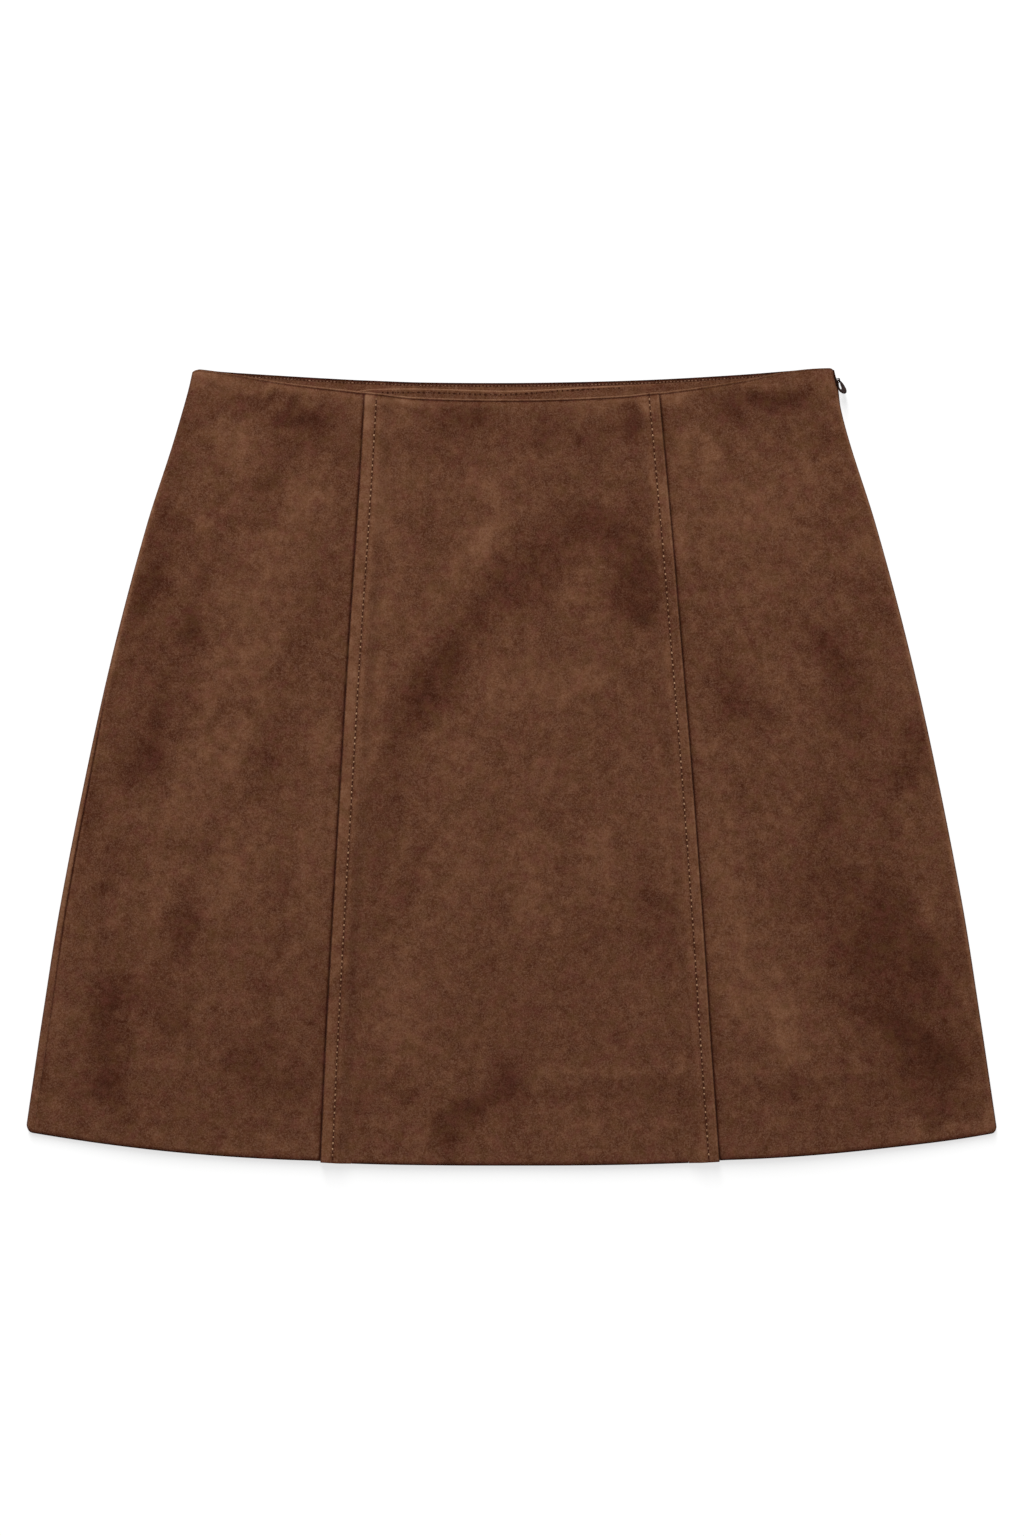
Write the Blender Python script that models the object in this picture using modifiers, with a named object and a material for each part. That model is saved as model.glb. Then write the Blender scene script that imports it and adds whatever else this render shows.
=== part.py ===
"""A short A-line skort laid flat, front up, with a zip in its right side seam.

Metres. X runs across the garment, Y from hem to waist, Z up from the surface it
lies on. Left and right are as seen from above. The origin is under the middle of
the outline. Cloth pieces lie in layers, and are drawn by the middle of their wall.
"""

import math
from collections import namedtuple

import bmesh
import bpy
from mathutils import Matrix, Vector

NAME = "skort"

# Cloth and the layers it lies in
CLOTH = 0.0010
GAP = 0.0003
LAYER = CLOTH + GAP
BACK = CLOTH / 2
BACK_INSIDE = BACK + LAYER
FRONT_INSIDE = BACK + 2 * LAYER
FRONT = BACK + 3 * LAYER
LAP_RETURN = BACK + 4 * LAYER
LAP_TOP = BACK + 5 * LAYER
FOLD_RADIUS = LAYER / 2

# The rounded side edges, where front and back meet
EDGE_RADIUS = (FRONT - BACK) / 2
EDGE_MIDDLE = (FRONT + BACK) / 2
EDGE_REACH = EDGE_RADIUS + CLOTH / 2
QUARTER = EDGE_RADIUS * math.pi / 2
EDGE_STRIP = 0.0070
RIGHT_SEAM_ROLL = 0.00125

# A row for each section between waist and hem: its share of the length, the left and
# right edge, the left and right lap fold, and how far the left seam rolls forward
Section = namedtuple("Section", "down left right left_fold right_fold left_roll")
SECTIONS = (
    Section(0.00, -0.1786, 0.1804, -0.0830, 0.0828, 0.0),
    Section(0.02, -0.1805, 0.1824, -0.0835, 0.0836, 0.0),
    Section(0.05, -0.1840, 0.1841, -0.0843, 0.0848, 0.0),
    Section(0.10, -0.1903, 0.1897, -0.0854, 0.0868, 0.0),
    Section(0.20, -0.2040, 0.2030, -0.0880, 0.0907, 0.0),
    Section(0.35, -0.2210, 0.2205, -0.0922, 0.0960, 0.0),
    Section(0.50, -0.2354, 0.2349, -0.0965, 0.1015, 0.0021),
    Section(0.70, -0.2522, 0.2517, -0.1016, 0.1078, 0.0034),
    Section(0.85, -0.2623, 0.2618, -0.1050, 0.1120, 0.0047),
    Section(1.00, -0.2713, 0.2713, -0.1072, 0.1160, 0.0054),
)

# A row for each point along the waist: the top edges of the front, the front facing
# and the back, which sag in the middle by different amounts
Waist = namedtuple("Waist", "x front front_facing back")
WAIST = (
    Waist(-0.1790, 0.2194, 0.2182, 0.2196),
    Waist(-0.1765, 0.2216, 0.2201, 0.2219),
    Waist(-0.1630, 0.2204, 0.2188, 0.2209),
    Waist(-0.1250, 0.2141, 0.2129, 0.2184),
    Waist(-0.0830, 0.2093, 0.2096, 0.2163),
    Waist(-0.0500, 0.2055, 0.2113, 0.2149),
    Waist(0.0000, 0.2050, 0.2109, 0.2143),
    Waist(0.0450, 0.2058, 0.2123, 0.2155),
    Waist(0.0830, 0.2094, 0.2136, 0.2171),
    Waist(0.1280, 0.2155, 0.2148, 0.2194),
    Waist(0.1550, 0.2202, 0.2190, 0.2213),
    Waist(0.1775, 0.2219, 0.2206, 0.2229),
    Waist(0.1805, 0.2208, 0.2196, 0.2212),
)
CORNER_START = 0.1700

# Hem: an even curve that rises to the sides, turned up all round
HEM_LOW = -0.2229
HEM_RISE = 0.0185
HEM_HALF = 0.2700
HEM_CURVE = 2.5
HEM_TURN_UP = 0.0500
HEM_MARGIN = FOLD_RADIUS + CLOTH / 2
BACK_HEM_SHORTER = 0.0012
SIDE_LENGTH = 0.4255

# Laps of the centre front over the side fronts
LAP_TURN = 0.0080
LAP_FLAT = 0.0085
LAP_EASE = 0.0085
LAP_UNDER = 0.0120
LAP_CORNER_DROP = 0.0006
CLEAR_OF_LAP = 0.0004

# Waist facings, one for the front and one for the back
FACING_DEPTH = 0.0450
BACK_FACING_SET_BACK = 0.0010
FACING_INSET = 0.0028

# Inner shorts, hung from the facings: a row for each section down to the leg's end,
# with its share of the garment's length, the side edge and the centre seam or inseam
SHORTS_GAP = 0.0006
SHORTS_CLEAR_OF_HEM = 0.0560
Shorts = namedtuple("Shorts", "down side inner")
SHORTS = (
    Shorts(0.10, 0.1710, 0.0),
    Shorts(0.35, 0.1960, 0.0),
    Shorts(0.62, 0.2140, 0.0),
    Shorts(0.68, 0.2180, 0.0100),
    Shorts(0.87, 0.2290, 0.0270),
)

# Zip, closed, with its slider near the waist
ZIP_LENGTH = 0.1800
ZIP_START = 0.0015
COIL_RADIUS = 0.0010
TAPE_INNER = 0.0039
TAPE_OUTER = 0.0140
SLIDER_DOWN = 0.0060
SLIDER_LENGTH = 0.0070
SLIDER_RADIUS = 0.00105
NECK_HALF_LENGTH = 0.0020
NECK_BASE = 0.0006
PLATE_THICKNESS = 0.0009
SLIT_HALF = 0.0011
SLIT_HALF_AT_WAIST = 0.0007
SLIT_CLOSES = 0.0045

# The arch over the slit that holds the pull tab, out from the middle of the edge
ARCH_BASE = EDGE_REACH + GAP
ARCH_OPENING = 0.0016
ARCH_HALF_OPENING = 0.0008
ARCH_BAR = 0.0005
ARCH_CHAMFER = 0.00030
HINGE_OUT = ARCH_BASE + ARCH_OPENING / 2

# Pull tab
TAB_REST = math.radians(33)
TAB_LENGTH = 0.0092
TAB_BULB_RADIUS = 0.0025
TAB_NARROW_HALF = 0.00125
TAB_THICKNESS = 0.0010
TAB_BAR_HALF = 0.00035
TAB_EYE_END = 0.0019
TAB_EYE_HALF = 0.00075
TAB_BEVEL = 0.0002
TAB_ARC_STEPS = 12

# Grid fineness
ACROSS_STEPS = 4
EDGE_STEPS = 6
EASE_STEPS = 3
FOLD_STEPS = 4
LENGTH_STEPS = 12
COIL_POINTS = 12
SQUARE_STRIP = 0.03


def between(low, high, share):
    """The value a share of the way from low to high."""
    return low + (high - low) * share


def smooth(share):
    """A share eased at both ends."""
    return share * share * (3 - 2 * share)


def along(table, column, at):
    """A table's column, read between its rows on a smooth curve."""
    keys = [row[0] for row in table]
    values = [getattr(row, column) for row in table]
    last = len(keys) - 1
    slopes = []
    for k in range(last + 1):
        before, after = max(k - 1, 0), min(k + 1, last)
        slopes.append((values[after] - values[before]) / (keys[after] - keys[before]))
    k = max(i for i in range(last) if at >= keys[i] or i == 0)
    width = keys[k + 1] - keys[k]
    t = min(max((at - keys[k]) / width, 0), 1)
    bend_out = slopes[k] * width * t * (1 - t) ** 2
    bend_in = slopes[k + 1] * width * t * t * (1 - t)
    return between(values[k], values[k + 1], smooth(t)) + bend_out - bend_in


def edge_x(side, down):
    """X of the garment's edge; side is -1 at the left and 1 at the right."""
    return along(SECTIONS, "left" if side < 0 else "right", down)


def fold_x(side, down):
    """X of the centre front's folded edge."""
    return along(SECTIONS, "left_fold" if side < 0 else "right_fold", down)


def hem_y(x):
    """Y of the hem's lowest line."""
    return HEM_LOW + HEM_RISE * (abs(x) / HEM_HALF) ** HEM_CURVE


def waist_y(piece, x):
    """Y of the top edge of the front, the front facing or the back."""
    return along(WAIST, piece, x)


def front_y(x):
    """Y of the front's top edge."""
    return waist_y("front", x)


def back_y(x):
    """Y of the back's top edge."""
    return waist_y("back", x)


def below_waist(outer_y, x, depth):
    """Y at a depth below the waist, level past where its corners round off."""
    return outer_y(max(-CORNER_START, min(CORNER_START, x))) - depth


def slit_half(down):
    """Half the width of the zip's slit, which is open from the waist past the slider."""
    place = down * SIDE_LENGTH
    start = SLIDER_DOWN - NECK_HALF_LENGTH - GAP
    end = SLIDER_DOWN + NECK_HALF_LENGTH + GAP
    if place < start:
        return between(SLIT_HALF_AT_WAIST, SLIT_HALF, place / start)
    if place < end:
        return SLIT_HALF
    closing = min((place - end) / SLIT_CLOSES, 1)
    return between(SLIT_HALF, GAP / 2, closing)


def seam_place(side, down, toward):
    """Where a panel ends on the rounded edge; toward is 1 for the front, -1 for the back."""
    if side > 0:
        return RIGHT_SEAM_ROLL + toward * slit_half(down)
    return along(SECTIONS, "left_roll", down) + toward * GAP / 2


def rounded_edge(place):
    """Distance in from the edge and height of a point on the side, counted along the
    cloth from the outermost point: positive up and over the front, negative the back."""
    past = abs(place) - QUARTER
    if past > 0:
        return EDGE_REACH + past, EDGE_MIDDLE + math.copysign(EDGE_RADIUS, place)
    turn = place / EDGE_RADIUS
    return EDGE_REACH - EDGE_RADIUS * math.cos(turn), EDGE_MIDDLE + EDGE_RADIUS * math.sin(turn)


# A column runs from waist to hem: line gives its X and height at a share of the
# length, and turns says whether the hem is turned up there
Column = namedtuple("Column", "line turns drop")

# A row runs across: down is its share of the length, turn its angle round the hem's
# fold, and up its distance back up the turn-up
Row = namedtuple("Row", "down turn up")


def edge_column(side, toward, share, turns=False):
    """A column on the rounded edge: share 0 is at the seam, 1 on the flat."""

    def line(down):
        place = between(seam_place(side, down, toward), toward * EDGE_STRIP, share)
        inward, height = rounded_edge(place)
        return edge_x(side, down) - side * inward, height

    return Column(line, turns, HEM_MARGIN)


def edge_columns(side, toward, steps):
    """Columns round an edge from the seam to the flat, the last with the hem turned up.
    A narrow strip at the seam keeps its cut edge square, and one ends the plain hem."""
    shares = [0.0, SQUARE_STRIP] + [k / steps for k in range(1, steps)] + [1 - SQUARE_STRIP]
    columns = [edge_column(side, toward, share) for share in shares]
    return columns + [edge_column(side, toward, 1.0, turns=True)]


def blended_column(first, second, share):
    """A column between two others, with the hem turned up."""

    def line(down):
        x0, height = first.line(down)
        x1 = second.line(down)[0]
        return between(x0, x1, share), height

    return Column(line, True, HEM_MARGIN)


def lap_column(side, inward, height, turns=False):
    """A column of the centre front at a distance in from its folded edge."""

    def line(down):
        return fold_x(side, down) - side * inward, height

    return Column(line, turns, HEM_MARGIN if turns else -LAP_CORNER_DROP)


def inset_column(side, inward, height):
    """A column of an inner piece at a distance in from the garment's edge."""

    def line(down):
        return edge_x(side, down) - side * inward, height

    return Column(line, False, 0.0)


def length_rows():
    """Rows from waist to hem, with those that the zip's slit needs."""
    slit = (
        SLIDER_DOWN - NECK_HALF_LENGTH - GAP,
        SLIDER_DOWN + NECK_HALF_LENGTH + GAP,
        SLIDER_DOWN + NECK_HALF_LENGTH + GAP + SLIT_CLOSES,
    )
    shares = [k / LENGTH_STEPS for k in range(LENGTH_STEPS + 1)]
    shares += [place / SIDE_LENGTH for place in slit]
    return [Row(share, 0.0, 0.0) for share in sorted(shares)]


def turned_rows():
    """Rows round the hem's fold and back up its turn-up."""
    rows = [Row(1.0, math.pi * k / FOLD_STEPS, 0.0) for k in range(1, FOLD_STEPS + 1)]
    return rows + [Row(1.0, math.pi, HEM_TURN_UP * share) for share in (0.5, 1.0)]


def even_rows(count):
    """Rows at even shares, for a piece with no turn-up."""
    return [Row(k / count, 0.0, 0.0) for k in range(count + 1)]


def lay(column, row, high, low, span, inside):
    """The point of a column on a row; span is the shares of the length at which the
    piece starts and ends, inside the way its hem turns, -1 down or 1 up."""
    start, end = (column.line(share)[0] for share in span)
    waist, hem = front_y(column.line(0.0)[0]), hem_y(column.line(1.0)[0])
    y = between(high(start), low(end) + column.drop, row.down) + row.up
    x, height = column.line((waist - y) / (waist - hem))
    y -= FOLD_RADIUS * math.sin(row.turn)
    height += inside * FOLD_RADIUS * (1 - math.cos(row.turn))
    return Vector((x, y, height))


def cloth(name, columns, rows, high, low, material, span=(0.0, 1.0), inside=-1):
    """A cloth piece: a grid laid out by its columns and rows, thickened about its middle."""
    across, length = len(columns) - 1, len(rows) - 1
    grid = bmesh.new()
    bmesh.ops.create_grid(grid, x_segments=across, y_segments=length, size=0.5)
    place = {}
    for vert in grid.verts:
        i = round((vert.co.x + 0.5) * across)
        j = round((0.5 - vert.co.y) * length)
        place[vert] = (i, j)
    loose = []
    for face in grid.faces:
        turned = any(rows[place[vert][1]].turn > 0 for vert in face.verts)
        plain = any(not columns[place[vert][0]].turns for vert in face.verts)
        if turned and plain:
            loose.append(face)
    for vert, (i, j) in place.items():
        vert.co = lay(columns[i], rows[j], high, low, span, inside)
    bmesh.ops.delete(grid, geom=loose, context="FACES")
    mesh = bpy.data.meshes.new(name)
    grid.to_mesh(mesh)
    grid.free()
    piece = add_part(name, mesh, material)
    wall = piece.modifiers.new("wall", "SOLIDIFY")
    wall.thickness = CLOTH
    wall.offset = 0.0
    wall.use_even_offset = True
    return piece


def add_part(name, mesh, material):
    """An object in the part's collection."""
    part = bpy.data.objects.new(name, mesh)
    part.data.materials.append(material)
    bpy.data.collections[NAME].objects.link(part)
    return part


def finish(name, colour, roughness, metallic=0.0):
    """A plain material."""
    material = bpy.data.materials.new(name)
    material.use_nodes = True
    shader = material.node_tree.nodes["Principled BSDF"]
    shader.inputs["Base Color"].default_value = (*colour, 1.0)
    shader.inputs["Roughness"].default_value = roughness
    shader.inputs["Metallic"].default_value = metallic
    return material


def lap_profile():
    """The centre front's lap, from where it leaves the flat to the end of its return:
    distance in from the fold, and height."""
    profile = []
    for k in range(EASE_STEPS + 1):
        share = k / EASE_STEPS
        inward = LAP_FLAT + LAP_EASE * (1 - share)
        profile.append((inward, between(FRONT, LAP_TOP, smooth(share))))
    for k in range(FOLD_STEPS + 1):
        turn = math.pi * k / FOLD_STEPS
        inward = HEM_MARGIN - FOLD_RADIUS * math.sin(turn)
        height = (LAP_TOP + LAP_RETURN) / 2 + FOLD_RADIUS * math.cos(turn)
        profile.append((inward, height))
    profile.append((LAP_TURN, LAP_RETURN))
    return profile


def make_centre_front(material):
    """The centre front, folded under along both laps and turned up at the hem."""
    profile = lap_profile()
    start = profile[0][0] + CLEAR_OF_LAP
    left = lap_column(-1, start, FRONT, turns=True)
    right = lap_column(1, start, FRONT, turns=True)
    columns = [lap_column(-1, inward, height) for inward, height in reversed(profile)]
    steps = ACROSS_STEPS + 2
    columns += [blended_column(left, right, k / steps) for k in range(steps + 1)]
    columns += [lap_column(1, inward, height) for inward, height in profile]
    rows = length_rows() + turned_rows()
    cloth("front_centre_panel", columns, rows, front_y, hem_y, material)


def make_side_front(name, side, material):
    """A side front, from its side seam to its edge under the centre front."""
    columns = edge_columns(side, 1, EDGE_STEPS)
    outer = columns[-1]
    inner = lap_column(side, LAP_UNDER, FRONT, turns=True)
    columns += [blended_column(outer, inner, k / ACROSS_STEPS) for k in range(1, ACROSS_STEPS + 1)]
    rows = length_rows() + turned_rows()
    cloth(name, columns, rows, front_y, hem_y, material)


def make_back(material):
    """The back, in one piece, which wraps round both side edges to its seams."""

    def hem(x):
        return hem_y(x) + BACK_HEM_SHORTER

    columns = edge_columns(-1, -1, EDGE_STEPS + 3)
    right = edge_columns(1, -1, EDGE_STEPS)
    steps = 2 * ACROSS_STEPS
    columns += [blended_column(columns[-1], right[-1], k / steps) for k in range(1, steps)]
    columns += reversed(right)
    rows = length_rows() + turned_rows()
    cloth("back_panel", columns, rows, back_y, hem, material, inside=1)


def inner_columns(left, right, steps):
    """Even columns between two, for a piece with no turn-up."""
    return [blended_column(left, right, k / steps)._replace(drop=0.0) for k in range(steps + 1)]


def make_facing(name, height, high, outer_y, material):
    """A waist facing, which stops at the zip's tape on the right."""

    def low(x):
        return below_waist(outer_y, x, FACING_DEPTH)

    left = inset_column(-1, FACING_INSET, height)
    right = inset_column(1, TAPE_OUTER + 2 * GAP, height)
    columns = inner_columns(left, right, 4 * ACROSS_STEPS)
    cloth(name, columns, even_rows(3), high, low, material, span=(0.0, FACING_DEPTH / SIDE_LENGTH))


def make_shorts(name, side, height, outer_y, material):
    """A quarter of the inner shorts: flat, from the facing to the end of its leg."""

    def high(x):
        return below_waist(outer_y, x, FACING_DEPTH + SHORTS_GAP)

    def low(x):
        return hem_y(x) + SHORTS_CLEAR_OF_HEM

    def outer(down):
        return side * along(SHORTS, "side", down), height

    def inner(down):
        return side * (max(along(SHORTS, "inner", down), 0.0) + GAP / 2), height

    ends = Column(outer, False, 0.0), Column(inner, False, 0.0)
    columns = inner_columns(*ends, 2 * ACROSS_STEPS)
    span = SHORTS[0].down, SHORTS[-1].down
    cloth(name, columns, even_rows(10), high, low, material, span=span)


def make_tape(name, height, material):
    """One of the zip's tapes, beside the coil inside the side seam."""

    def high(x):
        return front_y(x) - ZIP_START

    def low(x):
        return below_waist(front_y, x, ZIP_START + ZIP_LENGTH)

    inner = inset_column(1, TAPE_INNER, height)
    outer = inset_column(1, TAPE_OUTER, height)
    columns = inner_columns(inner, outer, 1)
    cloth(name, columns, even_rows(12), high, low, material, span=(0.0, ZIP_LENGTH / SIDE_LENGTH))


def right_edge_middle(place):
    """The middle of the right edge's round, at a distance down from the waist."""
    down = place / SIDE_LENGTH
    x = edge_x(1, down)
    corner = front_y(edge_x(1, 0.0))
    low = hem_y(edge_x(1, 1.0)) + HEM_MARGIN
    return Vector((x - EDGE_REACH, between(corner, low, down), EDGE_MIDDLE))


def slider_frame():
    """The zip's frame at the slider: its middle, then up the seam, out of the slit, and
    the axis across the slit that the pull tab turns on."""
    middle = right_edge_middle(SLIDER_DOWN)
    above = right_edge_middle(SLIDER_DOWN - SLIDER_LENGTH / 2)
    below = right_edge_middle(SLIDER_DOWN + SLIDER_LENGTH / 2)
    up = (above - below).normalized()
    level = up.cross(Vector((0, 0, 1)))
    tilt = RIGHT_SEAM_ROLL / EDGE_RADIUS
    out = math.cos(tilt) * level + math.sin(tilt) * Vector((0, 0, 1))
    return middle, up, out, out.cross(up)


def frame_matrix(origin, first, second, third):
    """The matrix that carries local X, Y and Z onto three directions at an origin."""
    turn = Matrix((first, second, third)).transposed()
    return Matrix.Translation(origin) @ turn.to_4x4()


def make_coil(material):
    """The closed teeth, one rod along the inside of the seam below the slider."""
    start = SLIDER_DOWN + SLIDER_LENGTH / 2 + GAP
    curve = bpy.data.curves.new("zip_coil", "CURVE")
    curve.dimensions = "3D"
    curve.bevel_depth = COIL_RADIUS
    curve.bevel_resolution = 2
    curve.use_fill_caps = True
    spline = curve.splines.new("POLY")
    spline.points.add(COIL_POINTS - 1)
    for k, point in enumerate(spline.points):
        place = between(start, ZIP_LENGTH, k / (COIL_POINTS - 1))
        point.co = (*right_edge_middle(place), 1.0)
    add_part("zip_coil", curve, material)


def flat_shape(name, outlines, thickness):
    """A flat plate with holes, as a mesh: its outline first, each hole after it."""
    curve = bpy.data.curves.new(name, "CURVE")
    curve.dimensions = "2D"
    curve.fill_mode = "BOTH"
    curve.extrude = thickness / 2
    for outline in outlines:
        spline = curve.splines.new("POLY")
        spline.use_cyclic_u = True
        spline.points.add(len(outline) - 1)
        for point, (x, y) in zip(spline.points, outline):
            point.co = (x, y, 0.0, 1.0)
    guide = bpy.data.objects.new(name + "_curve", curve)
    bpy.context.scene.collection.objects.link(guide)
    bpy.context.view_layer.update()
    evaluated = guide.evaluated_get(bpy.context.evaluated_depsgraph_get())
    mesh = bpy.data.meshes.new_from_object(evaluated)
    bpy.data.objects.remove(guide)
    welded = bmesh.new()
    welded.from_mesh(mesh)
    bmesh.ops.remove_doubles(welded, verts=welded.verts, dist=0.00001)
    bmesh.ops.recalc_face_normals(welded, faces=welded.faces)
    welded.to_mesh(mesh)
    welded.free()
    mesh.name = name
    mesh.materials.clear()
    return mesh


def make_slider(material):
    """The slider: a barrel on the coil, and a plate through the slit that ends in an arch."""
    middle, up, out, axis = slider_frame()
    mesh = bpy.data.meshes.new("zip_slider")
    barrel = bmesh.new()
    bmesh.ops.create_cone(
        barrel,
        cap_ends=True,
        segments=12,
        radius1=SLIDER_RADIUS,
        radius2=SLIDER_RADIUS,
        depth=SLIDER_LENGTH,
    )
    barrel.to_mesh(mesh)
    barrel.free()
    slider = add_part("zip_slider", mesh, material)
    slider.matrix_world = frame_matrix(middle, out, axis, up)

    arch_half = ARCH_HALF_OPENING + ARCH_BAR
    top = ARCH_BASE + ARCH_OPENING + ARCH_BAR
    outline = [
        (NECK_BASE, -NECK_HALF_LENGTH),
        (ARCH_BASE, -NECK_HALF_LENGTH),
        (ARCH_BASE, -arch_half),
        (top - ARCH_CHAMFER, -arch_half),
        (top, ARCH_CHAMFER - arch_half),
    ]
    outline += [(x, -y) for x, y in reversed(outline)]
    hole = [
        (ARCH_BASE, -ARCH_HALF_OPENING),
        (ARCH_BASE + ARCH_OPENING, -ARCH_HALF_OPENING),
        (ARCH_BASE + ARCH_OPENING, ARCH_HALF_OPENING),
        (ARCH_BASE, ARCH_HALF_OPENING),
    ]
    plate = bpy.data.objects.new("arch_plate", flat_shape("arch_plate", [outline, hole], PLATE_THICKNESS))
    bpy.data.collections["cutters"].objects.link(plate)
    plate.matrix_world = frame_matrix(middle, out, up, -axis)
    plate.hide_render = True
    plate.display_type = "WIRE"
    join = slider.modifiers.new("arch", "BOOLEAN")
    join.operation = "UNION"
    join.object = plate


def make_pull_tab(material):
    """The pull tab: a drop-shaped plate whose narrow end has an eye round the arch."""
    middle, up, out, axis = slider_frame()
    hinge = middle + HINGE_OUT * out
    length_way = math.sin(TAB_REST) * out - math.cos(TAB_REST) * up
    thick_way = length_way.cross(axis)
    centre = TAB_LENGTH - TAB_BULB_RADIUS
    spread = math.radians(100)
    bulb = []
    for k in range(TAB_ARC_STEPS + 1):
        turn = between(-spread, spread, k / TAB_ARC_STEPS)
        bulb.append((centre + TAB_BULB_RADIUS * math.cos(turn), TAB_BULB_RADIUS * math.sin(turn)))
    narrow = [
        (TAB_BAR_HALF, TAB_NARROW_HALF),
        (-TAB_BAR_HALF, TAB_NARROW_HALF - TAB_BAR_HALF),
        (-TAB_BAR_HALF, TAB_BAR_HALF - TAB_NARROW_HALF),
        (TAB_BAR_HALF, -TAB_NARROW_HALF),
    ]
    eye = [
        (TAB_BAR_HALF, -TAB_EYE_HALF),
        (TAB_EYE_END, -TAB_EYE_HALF),
        (TAB_EYE_END, TAB_EYE_HALF),
        (TAB_BAR_HALF, TAB_EYE_HALF),
    ]
    mesh = flat_shape("zip_pull_tab", [bulb + narrow, eye], TAB_THICKNESS)
    tab = add_part("zip_pull_tab", mesh, material)
    tab.matrix_world = frame_matrix(hinge, length_way, axis, thick_way)
    soften = tab.modifiers.new("soft_edges", "BEVEL")
    soften.width = TAB_BEVEL
    soften.segments = 1
    soften.limit_method = "ANGLE"
    soften.angle_limit = math.radians(60)


def clear_scene():
    """An empty scene with one collection for the parts and one for the cutters."""
    for thing in list(bpy.data.objects):
        bpy.data.objects.remove(thing)
    for name in (NAME, "cutters"):
        collection = bpy.data.collections.new(name)
        bpy.context.scene.collection.children.link(collection)


def main():
    clear_scene()
    suede = finish("brown_suede", (0.109, 0.044, 0.023), 0.95)
    lining = finish("brown_lining", (0.080, 0.036, 0.022), 0.80)
    tape = finish("dark_tape", (0.030, 0.014, 0.010), 0.85)
    teeth = finish("dark_teeth", (0.022, 0.012, 0.009), 0.45)
    metal = finish("dark_bronze", (0.075, 0.038, 0.022), 0.40, 0.7)

    make_centre_front(suede)
    make_side_front("front_side_panel_left", -1, suede)
    make_side_front("front_side_panel_right", 1, suede)
    make_back(suede)

    def front_facing_y(x):
        return waist_y("front_facing", x)

    def back_facing_y(x):
        return back_y(x) - BACK_FACING_SET_BACK

    make_facing("front_facing", FRONT_INSIDE, front_facing_y, front_y, suede)
    make_facing("back_facing", BACK_INSIDE, back_facing_y, back_y, suede)
    for side, word in ((-1, "left"), (1, "right")):
        make_shorts("shorts_front_" + word, side, FRONT_INSIDE, front_y, lining)
        make_shorts("shorts_back_" + word, side, BACK_INSIDE, back_y, lining)

    make_tape("zip_tape_front", FRONT_INSIDE, tape)
    make_tape("zip_tape_back", BACK_INSIDE, tape)
    make_coil(teeth)
    make_slider(metal)
    make_pull_tab(metal)


main()
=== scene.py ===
# A short A-line skort in brown suede, laid flat with its front up: the finish of every
# piece, its stitches and its zip. Metres; X runs across the garment, Y from hem to waist
# and Z up from the surface. Left and right are as seen from above.
import math
import random
from collections import namedtuple
from functools import lru_cache

import bmesh
import bpy
import numpy as np
from mathutils import Matrix, Vector, noise


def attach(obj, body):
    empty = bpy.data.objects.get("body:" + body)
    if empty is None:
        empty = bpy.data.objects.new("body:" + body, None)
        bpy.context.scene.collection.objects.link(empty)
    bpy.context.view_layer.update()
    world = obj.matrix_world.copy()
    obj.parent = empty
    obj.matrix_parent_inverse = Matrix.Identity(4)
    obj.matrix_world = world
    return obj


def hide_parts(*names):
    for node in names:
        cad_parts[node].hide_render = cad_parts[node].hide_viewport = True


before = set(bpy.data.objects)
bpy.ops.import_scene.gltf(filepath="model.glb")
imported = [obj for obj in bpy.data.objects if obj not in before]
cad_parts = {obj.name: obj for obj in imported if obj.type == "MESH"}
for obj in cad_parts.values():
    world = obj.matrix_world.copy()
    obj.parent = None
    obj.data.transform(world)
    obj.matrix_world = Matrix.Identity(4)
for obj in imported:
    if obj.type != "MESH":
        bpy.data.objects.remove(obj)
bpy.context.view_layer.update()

# Cloth and the layers it lies in, by the middle of each wall
CLOTH = 0.0010
GAP = 0.0003
SEAM_GAP = 0.0001
LAYER = CLOTH + GAP
BACK = CLOTH / 2
BACK_INSIDE = BACK + LAYER
FRONT_INSIDE = BACK + 2 * LAYER
FRONT = BACK + 3 * LAYER
LAP_RETURN = BACK + 4 * LAYER
LAP_TOP = BACK + 5 * LAYER
FOLD_RADIUS = LAYER / 2
RIM_ROUND = 0.0004
RIM_STEPS = 3
RIM_ANGLE = math.radians(60)

# The rounded side edges, where front and back meet
EDGE_RADIUS = (FRONT - BACK) / 2
EDGE_MIDDLE = (FRONT + BACK) / 2
EDGE_REACH = EDGE_RADIUS + CLOTH / 2
QUARTER = EDGE_RADIUS * math.pi / 2
EDGE_STRIP = 0.0070
RIGHT_SEAM_ROLL = 0.00125

# A row for each section between waist and hem: its share of the length, the left and
# right edge, the left and right lap fold, and how far the left seam rolls forward
Section = namedtuple("Section", "down left right left_fold right_fold left_roll")
SECTIONS = (
    Section(0.00, -0.1786, 0.1804, -0.0820, 0.0823, 0.0),
    Section(0.02, -0.1805, 0.1824, -0.0824, 0.0831, 0.0),
    Section(0.05, -0.1840, 0.1841, -0.0832, 0.0843, 0.0),
    Section(0.10, -0.1903, 0.1898, -0.0844, 0.0863, 0.0),
    Section(0.20, -0.2040, 0.2034, -0.0872, 0.0902, 0.0),
    Section(0.35, -0.2210, 0.2206, -0.0915, 0.0956, 0.0014),
    Section(0.50, -0.2354, 0.2352, -0.0953, 0.1009, 0.0031),
    Section(0.70, -0.2522, 0.2520, -0.1003, 0.1072, 0.0042),
    Section(0.85, -0.2624, 0.2621, -0.1038, 0.1114, 0.0053),
    Section(1.00, -0.2718, 0.2716, -0.1067, 0.1160, 0.0055),
)

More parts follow.
